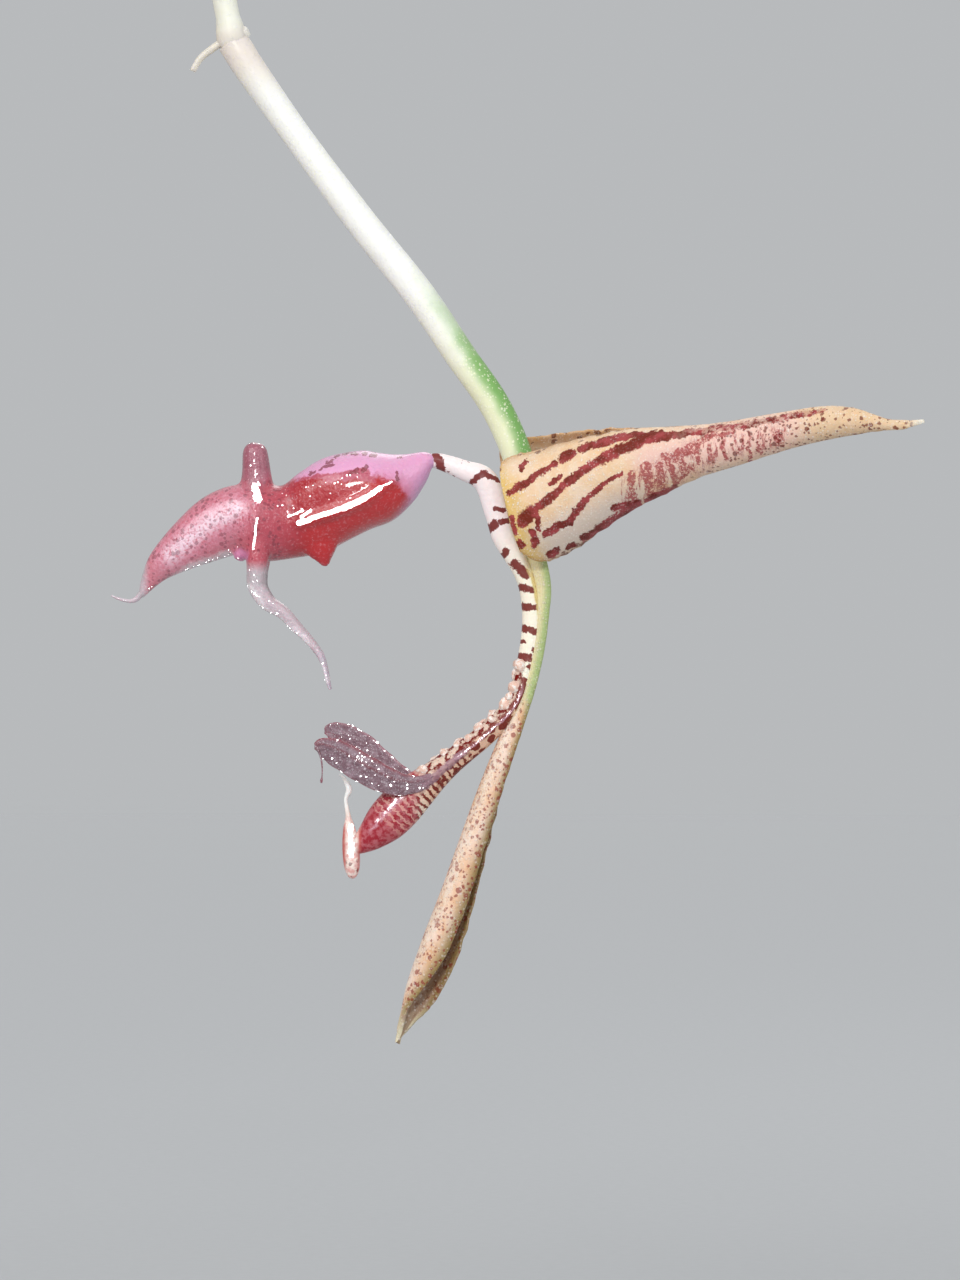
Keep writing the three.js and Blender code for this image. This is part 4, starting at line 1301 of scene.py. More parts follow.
def dorsal_skin():
    material, tree, shader = fleshy("dorsal_skin", 0.4, 0.12, (1.2, 0.8, 0.4))
    place = millimetres(tree)
    z = axis(place, "Z")
    across = axis(map_of(tree), "Y")
    inner = rise(across, 1.3, 1.7)
    across = minus(across, times(inner, INNER_MARK))
    flat = vector("MULTIPLY", place, (1, 1, 0.4))
    grain = clouds(place, scale=6, detail=4, roughness=0.7)
    cloud = patched(flat, size=0.9, edge=0.2)
    body = mixed(cloud, DORSAL_TAN, DORSAL_ROSE)
    away = calc("ABSOLUTE", across)
    body = mixed(rise(away, 0.62, 0.97), body, DORSAL_EDGE)
    # Painted highlight: a pale band down the middle of the rolled face, where it faces the camera and the
    # lamps.
    light = times(rise(away, 0.08, 0.3), rise(away, 0.66, 0.45))
    light = times(light, rise(grain, 0.3, 0.6))
    body = mixed(times(light, 0.7), body, DORSAL_HIGHLIGHT_CREAM)
    for spacing, radius in ((0.42, 0.5), (0.25, 0.52)):
        dots = specked(place, spacing=spacing, radius=radius, ragged=0.2)
        dots = times(dots, ranging(light, 0.75, 0.4))
        body = mixed(dots, body, DORSAL_DOT)
    lines = rise(calc("SINE", times(across, 70)), 0.4, 0.95)
    cream = mixed(times(lines, 0.4), KEEL_CREAM, KEEL_LINE)
    keel = mixed(rise(away, 0.4, 0.85), cream, KEEL_GREEN)
    keel = mixed(times(rise(grain, 0.5, 0.75), 0.4), keel, KEEL_GRAIN)
    high = plus(z, times(cloud, 1.2))
    body = mixed(rise(high, -16.2, -13.4), body, keel)
    body = mixed(times(rise(z, -33.8, -35.8), 0.8), body, DORSAL_TIP)
    # Painted shade: the inner face is painted dark brown deep in the slit, lighter towards its edges.
    inside_shade = times(inner, rise(away, 0.92, 0.66))
    body = mixed(times(inside_shade, 0.75), body, DORSAL_INSIDE_SHADE)
    # White sugar grains, partly the sepal's own pale cells and partly painted glint.
    sugar_glints = specked(place, spacing=0.19, radius=0.5, ragged=0.05)
    body = mixed(times(sugar_glints, 0.32), body, DORSAL_SUGAR_GLINT)
    relief = plus(times(grain, 0.08), times(sugar_glints, 0.03))
    gloss = ranging(grain, 0.34, 0.58)
    feed(shader, {"Base Color": body, "Roughness": gloss, "Normal": bumped(relief)})
    return material


def dorsal_sepal():
    fine = flowing(DORSAL_STATIONS, DORSAL_ROWS)
    frames = frames_along([Vector((x, 0, z)) for x, z, _, _ in fine], Vector((0, 1, 0)))
    rings = []
    for k, (frame, (_, _, depth, degrees)) in enumerate(zip(frames, fine)):
        curl = math.radians(degrees)
        radius = max(0.05, depth - DORSAL_THICKNESS) / (1 - math.cos(curl / 2))
        twist = DORSAL_TWIST[0] + (DORSAL_TWIST[1] - DORSAL_TWIST[0]) * (k / DORSAL_ROWS) ** 1.6
        at, across, out = rolled(frame, 90 - twist)
        thickness = DORSAL_THICKNESS * end_share(k, DORSAL_ROWS, 0.3)

        def lift(share):
            return 0.13 * share**6 * noise.noise(Vector((0.45 * k, math.copysign(5, share), 3)))

        seat = (at + out * (depth - DORSAL_THICKNESS) / 2, across, out)
        width = max(radius * curl, 0.2)
        rings.append(blade_ring(seat, width, curl, thickness, DORSAL_STRIPS, lift))
    shares = blade_shares(DORSAL_STRIPS)
    inner_shares = shares[DORSAL_STRIPS + 1 : -1]
    marked = [*shares[: DORSAL_STRIPS + 1], *(share + INNER_MARK for share in inner_shares), shares[-1]]
    return skin(rings, even_shares(DORSAL_ROWS), marked)


on_each_bloom("middle_sepal", dorsal_sepal(), dorsal_skin(), "sepal", "dorsal_sepal")

# Columns
# The thin column bends down and then forwards. Its foot holds the lip. Maroon bars cross its cream front, two
# rows of uneven warts follow, and it thickens into a red head with a long pale anther cap, whose thread
# stands up.

COLUMN_STATIONS = (  # x, z, half thickness in the plane, half thickness across it
    (-5.4, -0.42, 0.34, 0.3), (-4.65, -0.4, 0.49, 0.42), (-3.04, -0.97, 0.63, 0.52),
    (-1.7, -1.65, 0.78, 0.6), (-1.02, -3.6, 0.75, 0.62), (-0.6, -5.1, 0.7, 0.62),
    (0, -6.2, 0.63, 0.62), (0.62, -7.3, 0.6, 0.6), (1.03, -8.5, 0.62, 0.6),
    (1.24, -10.1, 0.68, 0.6), (1.18, -11.4, 0.7, 0.6), (0.97, -12.65, 0.69, 0.6),
    (0.7, -13.9, 0.68, 0.6), (0.3, -15.1, 0.68, 0.62), (-0.25, -16, 0.68, 0.64),
    (-1.05, -16.75, 0.68, 0.66), (-2.05, -17.65, 0.7, 0.7), (-2.93, -18.35, 0.72, 0.72),
    (-3.95, -19.15, 0.8, 0.78), (-4.9, -19.95, 0.95, 0.85), (-6, -20.9, 1.22, 0.95),
    (-6.9, -21.75, 1.38, 1.02), (-7.87, -22.75, 1.32, 0.98), (-8.74, -23.6, 0.98, 0.8),
    (-9.5, -24.2, 0.6, 0.52), (-10.05, -24.5, 0.3, 0.3),
)
COLUMN_ROWS = 250
COLUMN_SIDES = 28
WARTS_FROM, WARTS_TO = 16.2, 26.2  # mm along the column from its foot
WARTS = 10  # in each of the two rows
WART_RADII = (0.28, 0.52)
WART_STRAY = 0.35  # of the space between two
WART_MARK = -4  # lengthwise, in a wart's map; the column's own map starts at 0
WING_HEIGHT = 0.16
RUNG_SPACING = 0.42
CAP_STATIONS = (
    (-10.78, -19.83, 0.05), (-10.47, -20.12, 0.11), (-10.17, -20.75, 0.2), (-10.37, -21.4, 0.12),
    (-10.23, -22.4, 0.17), (-10.17, -23.1, 0.36), (-10.1, -24, 0.5), (-10.02, -25, 0.54),
    (-9.98, -25.7, 0.46), (-9.96, -26.15, 0.28), (-9.95, -26.3, 0.08),
)
COLUMN_BARS = (
    ((-4.8, -0.1), (-4.4, -1.0), 0.55), ((-2.5, -1.65), (-1.75, -1.15), 0.42),
    ((-1.75, -1.15), (-1.0, -1.6), 0.36), ((-1.05, -3.4), (-0.6, -3.4), 0.34),
    ((-1.6, -4.7), (-1.15, -4.3), 0.55), ((-0.75, -4.2), (-0.2, -4.05), 0.38),
    ((-0.65, -6.4), (-0.4, -6.0), 0.45), ((0.1, -6.8), (0.75, -7.45), 0.6),
    ((0.35, -8.2), (1.25, -8.4), 0.42), ((0.5, -9.4), (1.7, -9.5), 0.48),
    ((0.5, -10.7), (1.5, -11.1), 0.42), ((0.4, -11.6), (0.7, -11.6), 0.3),
    ((0.3, -12.55), (0.9, -12.6), 0.5), ((1.2, -12.1), (1.4, -12.6), 0.26),
    ((0.95, -13.1), (1.2, -13.4), 0.34), ((0.05, -14.0), (0.6, -14.0), 0.42),
    ((0.6, -14.3), (0.75, -14.7), 0.32), ((-0.25, -14.5), (-0.05, -14.7), 0.36),
    ((-0.4, -15.2), (-0.2, -15.2), 0.34), ((0.1, -15.35), (0.5, -15.1), 0.5),
)
SMALL_DOTS = (((-3.9, -0.3), (-2.6, -0.55), 0.3), ((-4.5, -0.95), (-3.6, -1.35), 0.25))

COLUMN_CREAM = "faf1de"
COLUMN_FOOT = "fbecec"
COLUMN_BACK = "e4d190"
BAR_MAROON = "740f06"
HEAD_RED = "a02b38"
HEAD_PINK = "cc7f86"
WING_GREY = "9a7480"
BACK_LINE = "b98a5a"
COLUMN_BEIGE = "e3bfa6"
FLECK_CREAM = "f0d9c6"
RUNG_PINK = "dda79c"
RIDGE_HIGHLIGHT_PINK = "e2bccb"
WART_PINK = "e9bfae"
WART_CREAM = "fff1e8"
CAP_CREAM = "f7e6dd"
CAP_BLUSH = "e2aca6"
CAP_SPECK = "6d1a20"
CAP_RIM = "c0453f"
THREAD_WHITE = "fffaf6"
COLUMN_FLATS_FACE = (-0.06, -0.98, 0.18)  # of the right side; the left side is its mirror image
CAP_FLAT = (((-10.05, -23.1), (-10.0, -24.9), 0.5),)

# Wet flat places: under the share given, the surface lies flat and faces one way, so it glints as a whole.
wet_flats, entry, end = shared_effect(
    "wet_flats", {"Share": "Float", "Facing": "Vector", "Surface": "Vector"}, "Normal", "Vector"
)
looks_left = calc("SIGN", axis(node(wet_flats, "TexCoord").outputs["Normal"], "Y"))
to_the_left = times(looks_left, -1)
mirror = node(wet_flats, "CombineXYZ", {"X": 1.0, "Y": to_the_left, "Z": 1.0}).outputs[0]
facing = vector("MULTIPLY", entry["Facing"], mirror)
facing = node(wet_flats, "VectorTransform", {0: facing}, vector_type="NORMAL", convert_from="OBJECT")
leaning = {0: entry["Share"], 4: entry["Surface"], 5: facing.outputs[0]}
leaning = node(wet_flats, "Mix", leaning, data_type="VECTOR").outputs[1]
end(node(wet_flats, "VectorMath", {0: leaning}, operation="NORMALIZE").outputs[0])


def between(value, low, high, soft):
    """1 where the value lies between low and high."""
    return times(rise(value, low - soft, low + soft), rise(value, high + soft, high - soft))


def column_skin():
    material, tree, shader = fleshy("column_skin", 0.22, 0.15, (1.2, 0.5, 0.4))
    place = millimetres(tree)
    skin_map = map_of(tree)
    grain = clouds(place, scale=4, detail=4)
    shake = minus(grain, 0.5)
    along = plus(axis(skin_map, "X"), times(shake, 0.5))
    outer = calc("COSINE", times(axis(skin_map, "Y"), 2 * math.pi))
    outer = plus(outer, times(shake, 0.5))
    side = side_view(place, 0.34)
    body = mixed(rise(along, 6, 11), COLUMN_FOOT, COLUMN_CREAM)
    back = times(rise(outer, 0.2, 0.42), between(along, 10, 19, 0.8))
    lines = rise(calc("SINE", times(outer, 34)), 0.3, 0.9)
    back_tone = mixed(times(lines, 0.5), COLUMN_BACK, BACK_LINE)
    body = mixed(between(along, 18, 27, 0.8), body, COLUMN_BEIGE)
    blots = specked(place, spacing=0.55, radius=0.95, ragged=0.3)
    blots = times(blots, between(along, 16.8, 25.5, 0.5))
    front = times(rise(outer, -0.25, -0.5), between(along, WARTS_FROM, WARTS_TO, 0.3))
    flecks = patched(place, size=0.4, edge=0.06)
    front_tone = mixed(times(flecks, 0.8), BAR_MAROON, FLECK_CREAM)
    dark_side = times(between(outer, -0.42, 0.1, 0.08), between(along, 18, 23, 0.4))
    gaps = patched(place, size=0.55, edge=0.08)
    dark_side = times(dark_side, minus(1, times(gaps, 0.9)))
    comb = calc("SINE", times(along, 2 * math.pi / RUNG_SPACING))
    comb = times(rise(comb, 0, 0.5), between(along, 22.8, 28.6, 0.5))
    comb = times(comb, rise(outer, 0, 0.2))
    bars = either(strokes(side, COLUMN_BARS), blots, dark_side)
    dots = specked(place, spacing=0.3, radius=0.5, ragged=0.15)
    dots = times(dots, strokes(side, SMALL_DOTS))
    bars = either(bars, comb, dots)
    body = mixed(times(bars, 0.95), body, BAR_MAROON)
    body = mixed(back, body, back_tone)
    body = mixed(front, body, front_tone)
    wing = times(between(outer, -0.35, 0.2, 0.08), between(along, 22.8, 26.4, 0.5))
    body = mixed(times(wing, 0.85), body, WING_GREY)
    reach = minus(along, times(outer, 1.2))
    net = patched(place, size=0.3, edge=0.1)
    rungs = calc("SINE", plus(times(along, 2 * math.pi / RUNG_SPACING), times(grain, 5)))
    rungs = times(rise(rungs, 0, 0.7), between(along, 25, 29.4, 0.5))
    head_tone = mixed(times(net, 0.55), HEAD_RED, HEAD_PINK)
    head_tone = mixed(times(rungs, 0.75), head_tone, RUNG_PINK)
    body = mixed(rise(reach, 26, 27.4), body, head_tone)
    ridge = times(between(outer, -0.14, 0.04, 0.05), between(along, 17.5, 23.6, 0.4))
    high_ridge = times(between(outer, -0.5, -0.3, 0.08), between(along, 26.6, 30.5, 0.4))
    ridge_highlights = either(ridge, high_ridge)
    # Painted highlight: the ridges are painted pale pink, partly their own tone, under the real glint of
    # their wet flats.
    body = mixed(times(ridge_highlights, 0.45), body, RIDGE_HIGHLIGHT_PINK)
    wart = rise(axis(skin_map, "X"), -1.5, -2.5)
    wart_tone = mixed(rise(grain, 0.42, 0.62), WART_PINK, WART_CREAM)
    body = mixed(wart, body, wart_tone)
    cap = rise(axis(place, "X"), -9.3, -9.6)
    speckled = specked(place, spacing=0.4, radius=0.4, ragged=0.2)
    speckled = times(speckled, rise(axis(place, "Z"), -24.6, -25.8))
    blush = patched(place, size=0.35, edge=0.12)
    blush = times(blush, rise(axis(place, "Z"), -22, -23))
    cap_tone = mixed(blush, CAP_CREAM, CAP_BLUSH)
    cap_tone = mixed(rise(axis(place, "Z"), -22.4, -21.4), cap_tone, THREAD_WHITE)
    cap_tone = mixed(times(speckled, 0.85), cap_tone, CAP_SPECK)
    rim = rise(calc("ABSOLUTE", plus(axis(place, "X"), 10)), 0.28, 0.52)
    rim = times(rim, rise(axis(place, "Z"), -22.6, -23.4))
    cap_tone = mixed(times(rim, 0.85), cap_tone, CAP_RIM)
    body = mixed(cap, body, cap_tone)
    relief = plus(times(grain, 0.05), times(comb, -0.06))
    wet = times(ridge_highlights, rise(grain, 0.47, 0.53))
    wet = either(wet, strokes(side, CAP_FLAT, soft=0.3))
    gloss = ranging(grain, 0.2, 0.4)
    gloss = ranging(wet, gloss, 0.12)
    flats = {"Share": wet, "Facing": COLUMN_FLATS_FACE, "Surface": bumped(relief)}
    feed(shader, {"Base Color": body, "Roughness": gloss, "Normal": use(wet_flats, flats)})
    return material


def bead(middle, radius, mark=0, uneven=0):
    """A small ball, round or uneven, with the number mark all over its map."""
    rings = []
    for i in range(7):
        angle = math.pi * (i + 0.35) / 6.7
        ring = []
        for k in range(10):
            t = 2 * math.pi * k / 10
            out = Vector((math.sin(angle) * math.cos(t), math.sin(angle) * math.sin(t), math.cos(angle)))
            ring.append(middle + out * radius * (1 + uneven * noise.noise(out * 1.3 + middle * 9)))
        rings.append(ring)
    return skin(rings, [mark] * 7, even_shares(10))


def column():
    draw = random.Random(9)
    fine = flowing(COLUMN_STATIONS, COLUMN_ROWS)
    points = [Vector((x, 0, z)) for x, z, *_ in fine]
    rings, lengths, gone, shapes, seats = [], [], 0, [], []
    for k in range(WARTS):
        for side in (1, -1):
            share = (k + 0.5 * (side > 0) + draw.uniform(-WART_STRAY, WART_STRAY)) / WARTS
            seats.append((WARTS_FROM + (WARTS_TO - WARTS_FROM) * share, side))
    seats.sort()
    for k, (frame, (*_, half, across)) in enumerate(zip(frames_along(points, Vector((0, 1, 0))), fine)):
        at = frame[0]
        gone += (at - points[k - 1]).length if k else 0
        end = end_share(k, COLUMN_ROWS, 0.35)
        lower = max(0, min(1, (gone - WARTS_FROM) / 1.5, (WARTS_TO - gone) / 1.5))
        ring = []
        for j, point in enumerate(oval_ring(frame, half * end, across * end, COLUMN_SIDES)):
            angle = 2 * math.pi * (j + 0.5) / COLUMN_SIDES
            wing = WING_HEIGHT * lower * math.exp(-((abs(math.sin(angle)) - 1) ** 2) / 0.002)
            reach = (point - at).length
            ring.append(at + (point - at) * (1 + wing / reach))
        rings.append(ring)
        lengths.append(gone)
        while seats and seats[0][0] < gone:
            lean = math.radians(draw.uniform(22, 48)) * seats.pop(0)[1]
            radius = draw.uniform(*WART_RADII)
            seat = frame[2] * (across * math.sin(lean)) - frame[1] * (half * math.cos(lean))
            shapes.append(bead(at + seat * (1 - 0.42 * radius / half), radius, WART_MARK, 0.4))
    thread_and_cap = drawn_tube(CAP_STATIONS, 48, 16)
    return joined([skin(rings, lengths, even_shares(COLUMN_SIDES)), thread_and_cap, *shapes])


on_each_bloom("barred_column", column(), column_skin(), "column", "column")

# Petals
# Two small thin blades grow out of the column's sides below its head. They are greyish purple, half clear and
# grainy, with a row of glistening points along the edge, painted pale as painted glint as well as glossy, and
# one ends in a fine hanging thread.

PETAL_STATIONS = (  # x, z, distance from the middle plane, width
    (-4.1, -19.55, 0.6, 0.3), (-5.1, -20.1, 0.82, 0.7), (-6.2, -20.45, 1.1, 1.15),
    (-7.4, -20.32, 1.45, 1.6), (-8.7, -19.75, 1.8, 1.85), (-9.9, -19.05, 2.1, 1.85),
    (-11, -18.4, 2.45, 1.68), (-11.8, -18.06, 2.75, 1.1), (-12.24, -18.04, 2.9, 0.4),
)
PETAL_LIFT = (0.48, 0.88)  # of the left petal, along x and z
PETAL_THICKNESS = 0.24
PETAL_ROWS = 60
PETAL_STRIPS = 18

PETAL_GREY = "a08a93"
PETAL_DARK = "7a5963"
PETAL_PALE = "d9ccd3"
PETAL_FOLD = "74333c"
PETAL_TIP = "7c3f47"
PETAL_STAR_GLINT = "f6eef2"
PETAL_EDGE = "a86a70"
PETAL_ROLLED = "8e3d46"
PETAL_BEAD_GLINT = "f6e4e8"
PETAL_FLATS = (((-9.5, -18.8), (-9.1, -19.2), 0.6), ((-9.8, -18.2), (-9.2, -18.7), 0.16))
PETAL_FLATS_FACE = (-0.05, -0.98, 0.185)


def petal_skin():
    material, tree, shader = fleshy("petal_skin", 0.6, 0.2, (1, 0.6, 0.8))
    place = millimetres(tree)
    skin_map = map_of(tree)
    along, across = axis(skin_map, "X"), axis(skin_map, "Y")
    cloud = patched(place, size=0.6, edge=0.2)
    body = mixed(cloud, PETAL_GREY, PETAL_DARK)
    fold = rise(calc("ABSOLUTE", minus(across, 0.25)), 0.16, 0.02)
    body = mixed(times(fold, 0.6), body, PETAL_FOLD)
    tip = rise(along, 0.86, 1)
    body = mixed(times(tip, 0.6), body, PETAL_TIP)
    grains = specked(place, spacing=0.15, radius=0.6, ragged=0.05)
    body = mixed(times(grains, 0.42), body, PETAL_PALE)
    # Pale star points, partly the petal's own pale cells and partly painted glint.
    star_glints = specked(place, spacing=0.36, radius=0.24, ragged=0.08)
    body = mixed(times(star_glints, times(cloud, 0.9)), body, PETAL_STAR_GLINT)
    side = side_view(place, 0.3)
    wet = times(strokes(side, PETAL_FLATS, soft=0.3), grains)
    edge = rise(across, -0.8, -0.95)
    folded = rise(across, 0.6, 0.95)
    points = specked(place, spacing=0.3, radius=0.62, ragged=0.05)
    body = mixed(times(edge, 0.4), body, PETAL_EDGE)
    body = mixed(times(folded, 0.75), body, PETAL_ROLLED)
    # The beads along the edge are painted pale: painted glint, over the real gloss of their wet flats.
    bead_glints = times(edge, points)
    body = mixed(times(bead_glints, 0.7), body, PETAL_BEAD_GLINT)
    wet = either(wet, bead_glints, star_glints)
    body = mixed(rise(along, 0.28, 0.1), body, WING_GREY)
    relief = plus(times(grains, 0.04), times(cloud, 0.08))
    gloss = ranging(cloud, 0.14, 0.3)
    gloss = ranging(wet, gloss, 0.1)
    flats = {"Share": wet, "Facing": PETAL_FLATS_FACE, "Surface": bumped(relief)}
    feed(shader, {"Base Color": body, "Roughness": gloss, "Normal": use(wet_flats, flats)})
    return material


def petal(side):
    fine = flowing(PETAL_STATIONS, PETAL_ROWS)
    points = []
    for k, (x, z, y, _) in enumerate(fine):
        share = max(0, min(1, 2.4 * k / PETAL_ROWS - 0.5)) if side > 0 else 0
        points.append(Vector((x + PETAL_LIFT[0] * share, side * y, z + PETAL_LIFT[1] * share)))
    frames = frames_along(points, Vector((0, side, 0)))
    rings = []
    for k, (frame, (*_, width)) in enumerate(zip(frames, fine)):
        thickness = PETAL_THICKNESS * end_share(k, PETAL_ROWS, 0.3, over=4)
        ripple = 0.05 * min(1, width)

        def lift(share):
            fold = 0.12 * width * math.exp(-((share - 0.25) ** 2) / 0.02)
            return fold + ripple * share**4 * math.sin(0.8 * k + 2 * share)

        rings.append(blade_ring(frame, width, 0.8, thickness, PETAL_STRIPS, lift))
    blade = skin(rings, even_shares(PETAL_ROWS), blade_shares(PETAL_STRIPS))
    if side > 0:
        return blade
    hanging = ((-12.1, -18.1, 0.12), (-11.9, -18.6, 0.07), (-11.78, -19.2, 0.05), (-11.78, -19.9, 0.04))
    line = flowing((*hanging, (-11.82, -20.15, 0.09), (-11.82, -20.32, 0.05)), 20)
    thread = tube([Vector((x, -2.85, z)) for x, z, _ in line], [half for *_, half in line], 8)
    return joined([blade, thread])


thin_petal = petal_skin()
for side, word in ((1, "left"), (-1, "right")):
    on_each_bloom(f"thin_petal_{word}", petal(side), thin_petal, "petal", f"petal_{word}")

# Lips
# The fleshy, wet-looking lip juts forward from the column's foot. It is lilac above and crimson below, with a
# horn on its back, a waist, a pointed keel below and a clear bristle on each side. It ends in a fine thread.

LIP_STATIONS = (  # x, z, half height, half width
    (-4.75, -0.3, 0.2, 0.2), (-4.9, -0.34, 0.36, 0.4), (-5.46, -0.48, 0.72, 0.8),
    (-6.26, -1.02, 1.24, 1.4), (-7.13, -1.53, 1.78, 2), (-8.25, -1.98, 2.3, 2.6),
    (-9.49, -2.24, 2.5, 2.7), (-10.73, -2.64, 2.64, 2.65), (-11.66, -3.16, 2.6, 2.4),
    (-12.71, -3.78, 2.5, 2.1), (-13.83, -4.15, 2.3, 1.8), (-15.07, -4.28, 2.35, 2.1),
    (-16, -4.25, 2.4, 2.3), (-16.74, -4.05, 2.25, 2.1), (-17.55, -4.12, 2.1, 1.85),
    (-18.6, -4.62, 1.98, 1.65), (-19.8, -5.35, 1.66, 1.4), (-21, -6.18, 1.28, 1.1),
    (-21.85, -6.9, 0.96, 0.8), (-22.4, -7.6, 0.66, 0.55), (-22.85, -8.35, 0.38, 0.34),
    (-23.13, -8.85, 0.2, 0.2),
)
AWN = (
    (-23.05, -8.6, 0.22), (-23.4, -8.98, 0.17), (-23.84, -9.08, 0.12), (-24.49, -8.93, 0.09),
    (-24.92, -8.74, 0.05),
)
HORN = (
    (-15.88, -3.3, 1.35), (-15.86, -2.5, 1.2), (-15.9, -1.74, 1.02), (-15.92, -1, 0.9),
    (-15.97, -0.3, 0.84), (-16.02, 0.2, 0.78), (-16.06, 0.5, 0.64), (-16.08, 0.68, 0.42),
    (-16.08, 0.76, 0.16),
)
SIDE_RIB = (
    (-15.86, -2.2, 0.4), (-15.86, -3.2, 0.34), (-15.98, -4.4, 0.3), (-16.05, -5.4, 0.34),
    (-15.95, -6.3, 0.45),
)
LONG_RIDGE = (  # x, z, how far it stands out
    (-7.2, -1.5, 0), (-7.7, -1.8, 0.1), (-8.4, -2.3, 0.22), (-9.3, -2.85, 0.3), (-10.8, -3.45, 0.3),
    (-12.0, -3.85, 0.26), (-13, -4.2, 0.16), (-13.8, -4.4, 0),
)
KEEL_TIPS = (
    (-12.1, -4.2, 1.9), (-12, -5.3, 1.45), (-11.85, -6, 0.95), (-11.7, -6.6, 0.45),
    (-11.62, -7.04, 0.1),
)
BRISTLE = (  # x, z, distance from the middle plane, half thickness
    (-15.85, -5.3, 1.35, 0.85), (-15.81, -6.51, 1.55, 0.72), (-15.87, -7.44, 1.6, 0.62),
    (-15.81, -8.25, 1.65, 0.58), (-15.19, -9.18, 1.7, 0.5), (-14.26, -9.8, 1.75, 0.4),
    (-13.39, -10.73, 1.8, 0.33), (-12.52, -11.66, 1.85, 0.25), (-11.97, -12.4, 1.9, 0.2),
    (-11.66, -13.21, 1.95, 0.14), (-11.44, -14.2, 2, 0.1), (-11.32, -14.57, 2, 0.05),
)
KNOB = (-16.9, 1.0, -6.2, 0.44)  # x, distance from the middle plane, z, radius
BEADS = 17
MOULD_GRAIN = 0.15

LIP_MARKS = (
    ((-5.0, 0.6), (-4.7, -0.1), 0.38), ((-5.3, 0.2), (-5.2, 0.2), 0.23),
    ((-5.8, 0.3), (-5.7, 0.3), 0.18), ((-10.5, 0.0), (-10.2, 0.1), 0.2),
    ((-11.0, -0.2), (-10.8, -0.1), 0.22), ((-11.5, -0.5), (-11.2, -0.4), 0.22),
    ((-11.6, -0.8), (-11.2, -0.7), 0.29), ((-12.0, -1.0), (-11.8, -0.9), 0.2),
    ((-12.6, -1.2), (-12.3, -1.1), 0.22), ((-9.3, -1.1), (-9.0, -0.8), 0.26),
    ((-9.7, -1.2), (-9.6, -1.2), 0.18), ((-10.1, -1.3), (-9.7, -1.0), 0.2),
    ((-7.2, -1.1), (-7.1, -1.6), 0.22), ((-10.0, 0.0), (-9.7, 0.02), 0.24),
    ((-9.3, -0.02), (-9.15, 0.0), 0.22), ((-8.8, -0.05), (-8.5, -0.05), 0.22),
    ((-7.15, -0.2), (-6.95, -0.2), 0.2),
)
CLEAR_RIM = (  # along the lower edge of the front and along the bristle
    ((-17.7, -6.4), (-20.0, -7.2), 0.8), ((-20.0, -7.2), (-22.4, -8.8), 0.6),
    ((-16.35, -8.2), (-15.4, -9.6), 0.5), ((-15.4, -9.6), (-13.1, -11.3), 0.5),
    ((-13.1, -11.3), (-11.6, -13.9), 0.4),
)

LIP_LILAC = "e6a4cc"
LIP_CRIMSON = "ad1320"
LIP_SCARLET = "cb2226"
LIP_MAUVE = "bd4f60"
LIP_PINK = "cf7888"
LIP_HORN = "9c5c6c"
LIP_DOT = "6e2136"
CLEAR_GREY = "c6bfc6"
LIP_ROOT = "c296cc"
FRONT_ROSE_HIGHLIGHT = "e3a3ba"
FRONT_PAINTED_HIGHLIGHT = "fbe6f2"
MARK_RED = "7d1428"
RIM_PALE = "f0e4ea"
KNOB_LILAC = "d98fbf"
WET_PALE_GLINT = "f3d4dc"
LIP_GRAIN = "f0b8c4"
BLUSH = (((-12.9, -1.8), (-9.2, -1.3), 0.8), ((-9.4, -1.5), (-7.4, -1.8), 0.45))
WET_CREST = (  # the flat wet top of the long ridge and of the side rib
    ((-7.5, -1.75), (-8.2, -2.1), 0.12), ((-8.2, -2.15), (-9.2, -2.8), 0.34),
    ((-9.2, -2.8), (-10.4, -3.35), 0.42), ((-10.4, -3.35), (-12.6, -4.05), 0.34),
    ((-12.6, -4.1), (-13.2, -4.25), 0.4), ((-12.5, -3.5), (-13.1, -3.9), 0.2),
    ((-13, -3.5), (-13.9, -3.85), 0.14), ((-15.8, -4), (-16.05, -5.9), 0.16),
)
WET_HORN = (((-15.95, -2), (-15.75, -2.8), 0.8),)
WET_GRAINS = (
    ((-13.9, -2.9), (-9.8, -1.9), 1.7), ((-16, 0.4), (-16, -1.6), 1.2),
    ((-16.9, -6.1), (-22.6, -8.6), 0.9), ((-16, -6.8), (-16, -8.4), 0.7),
    ((-15.9, -8.5), (-13.8, -10.9), 0.7), ((-13.8, -10.9), (-11.6, -13.4), 0.6),
)
LIP_FLATS_FACE = (-0.05, -0.987, 0.155)


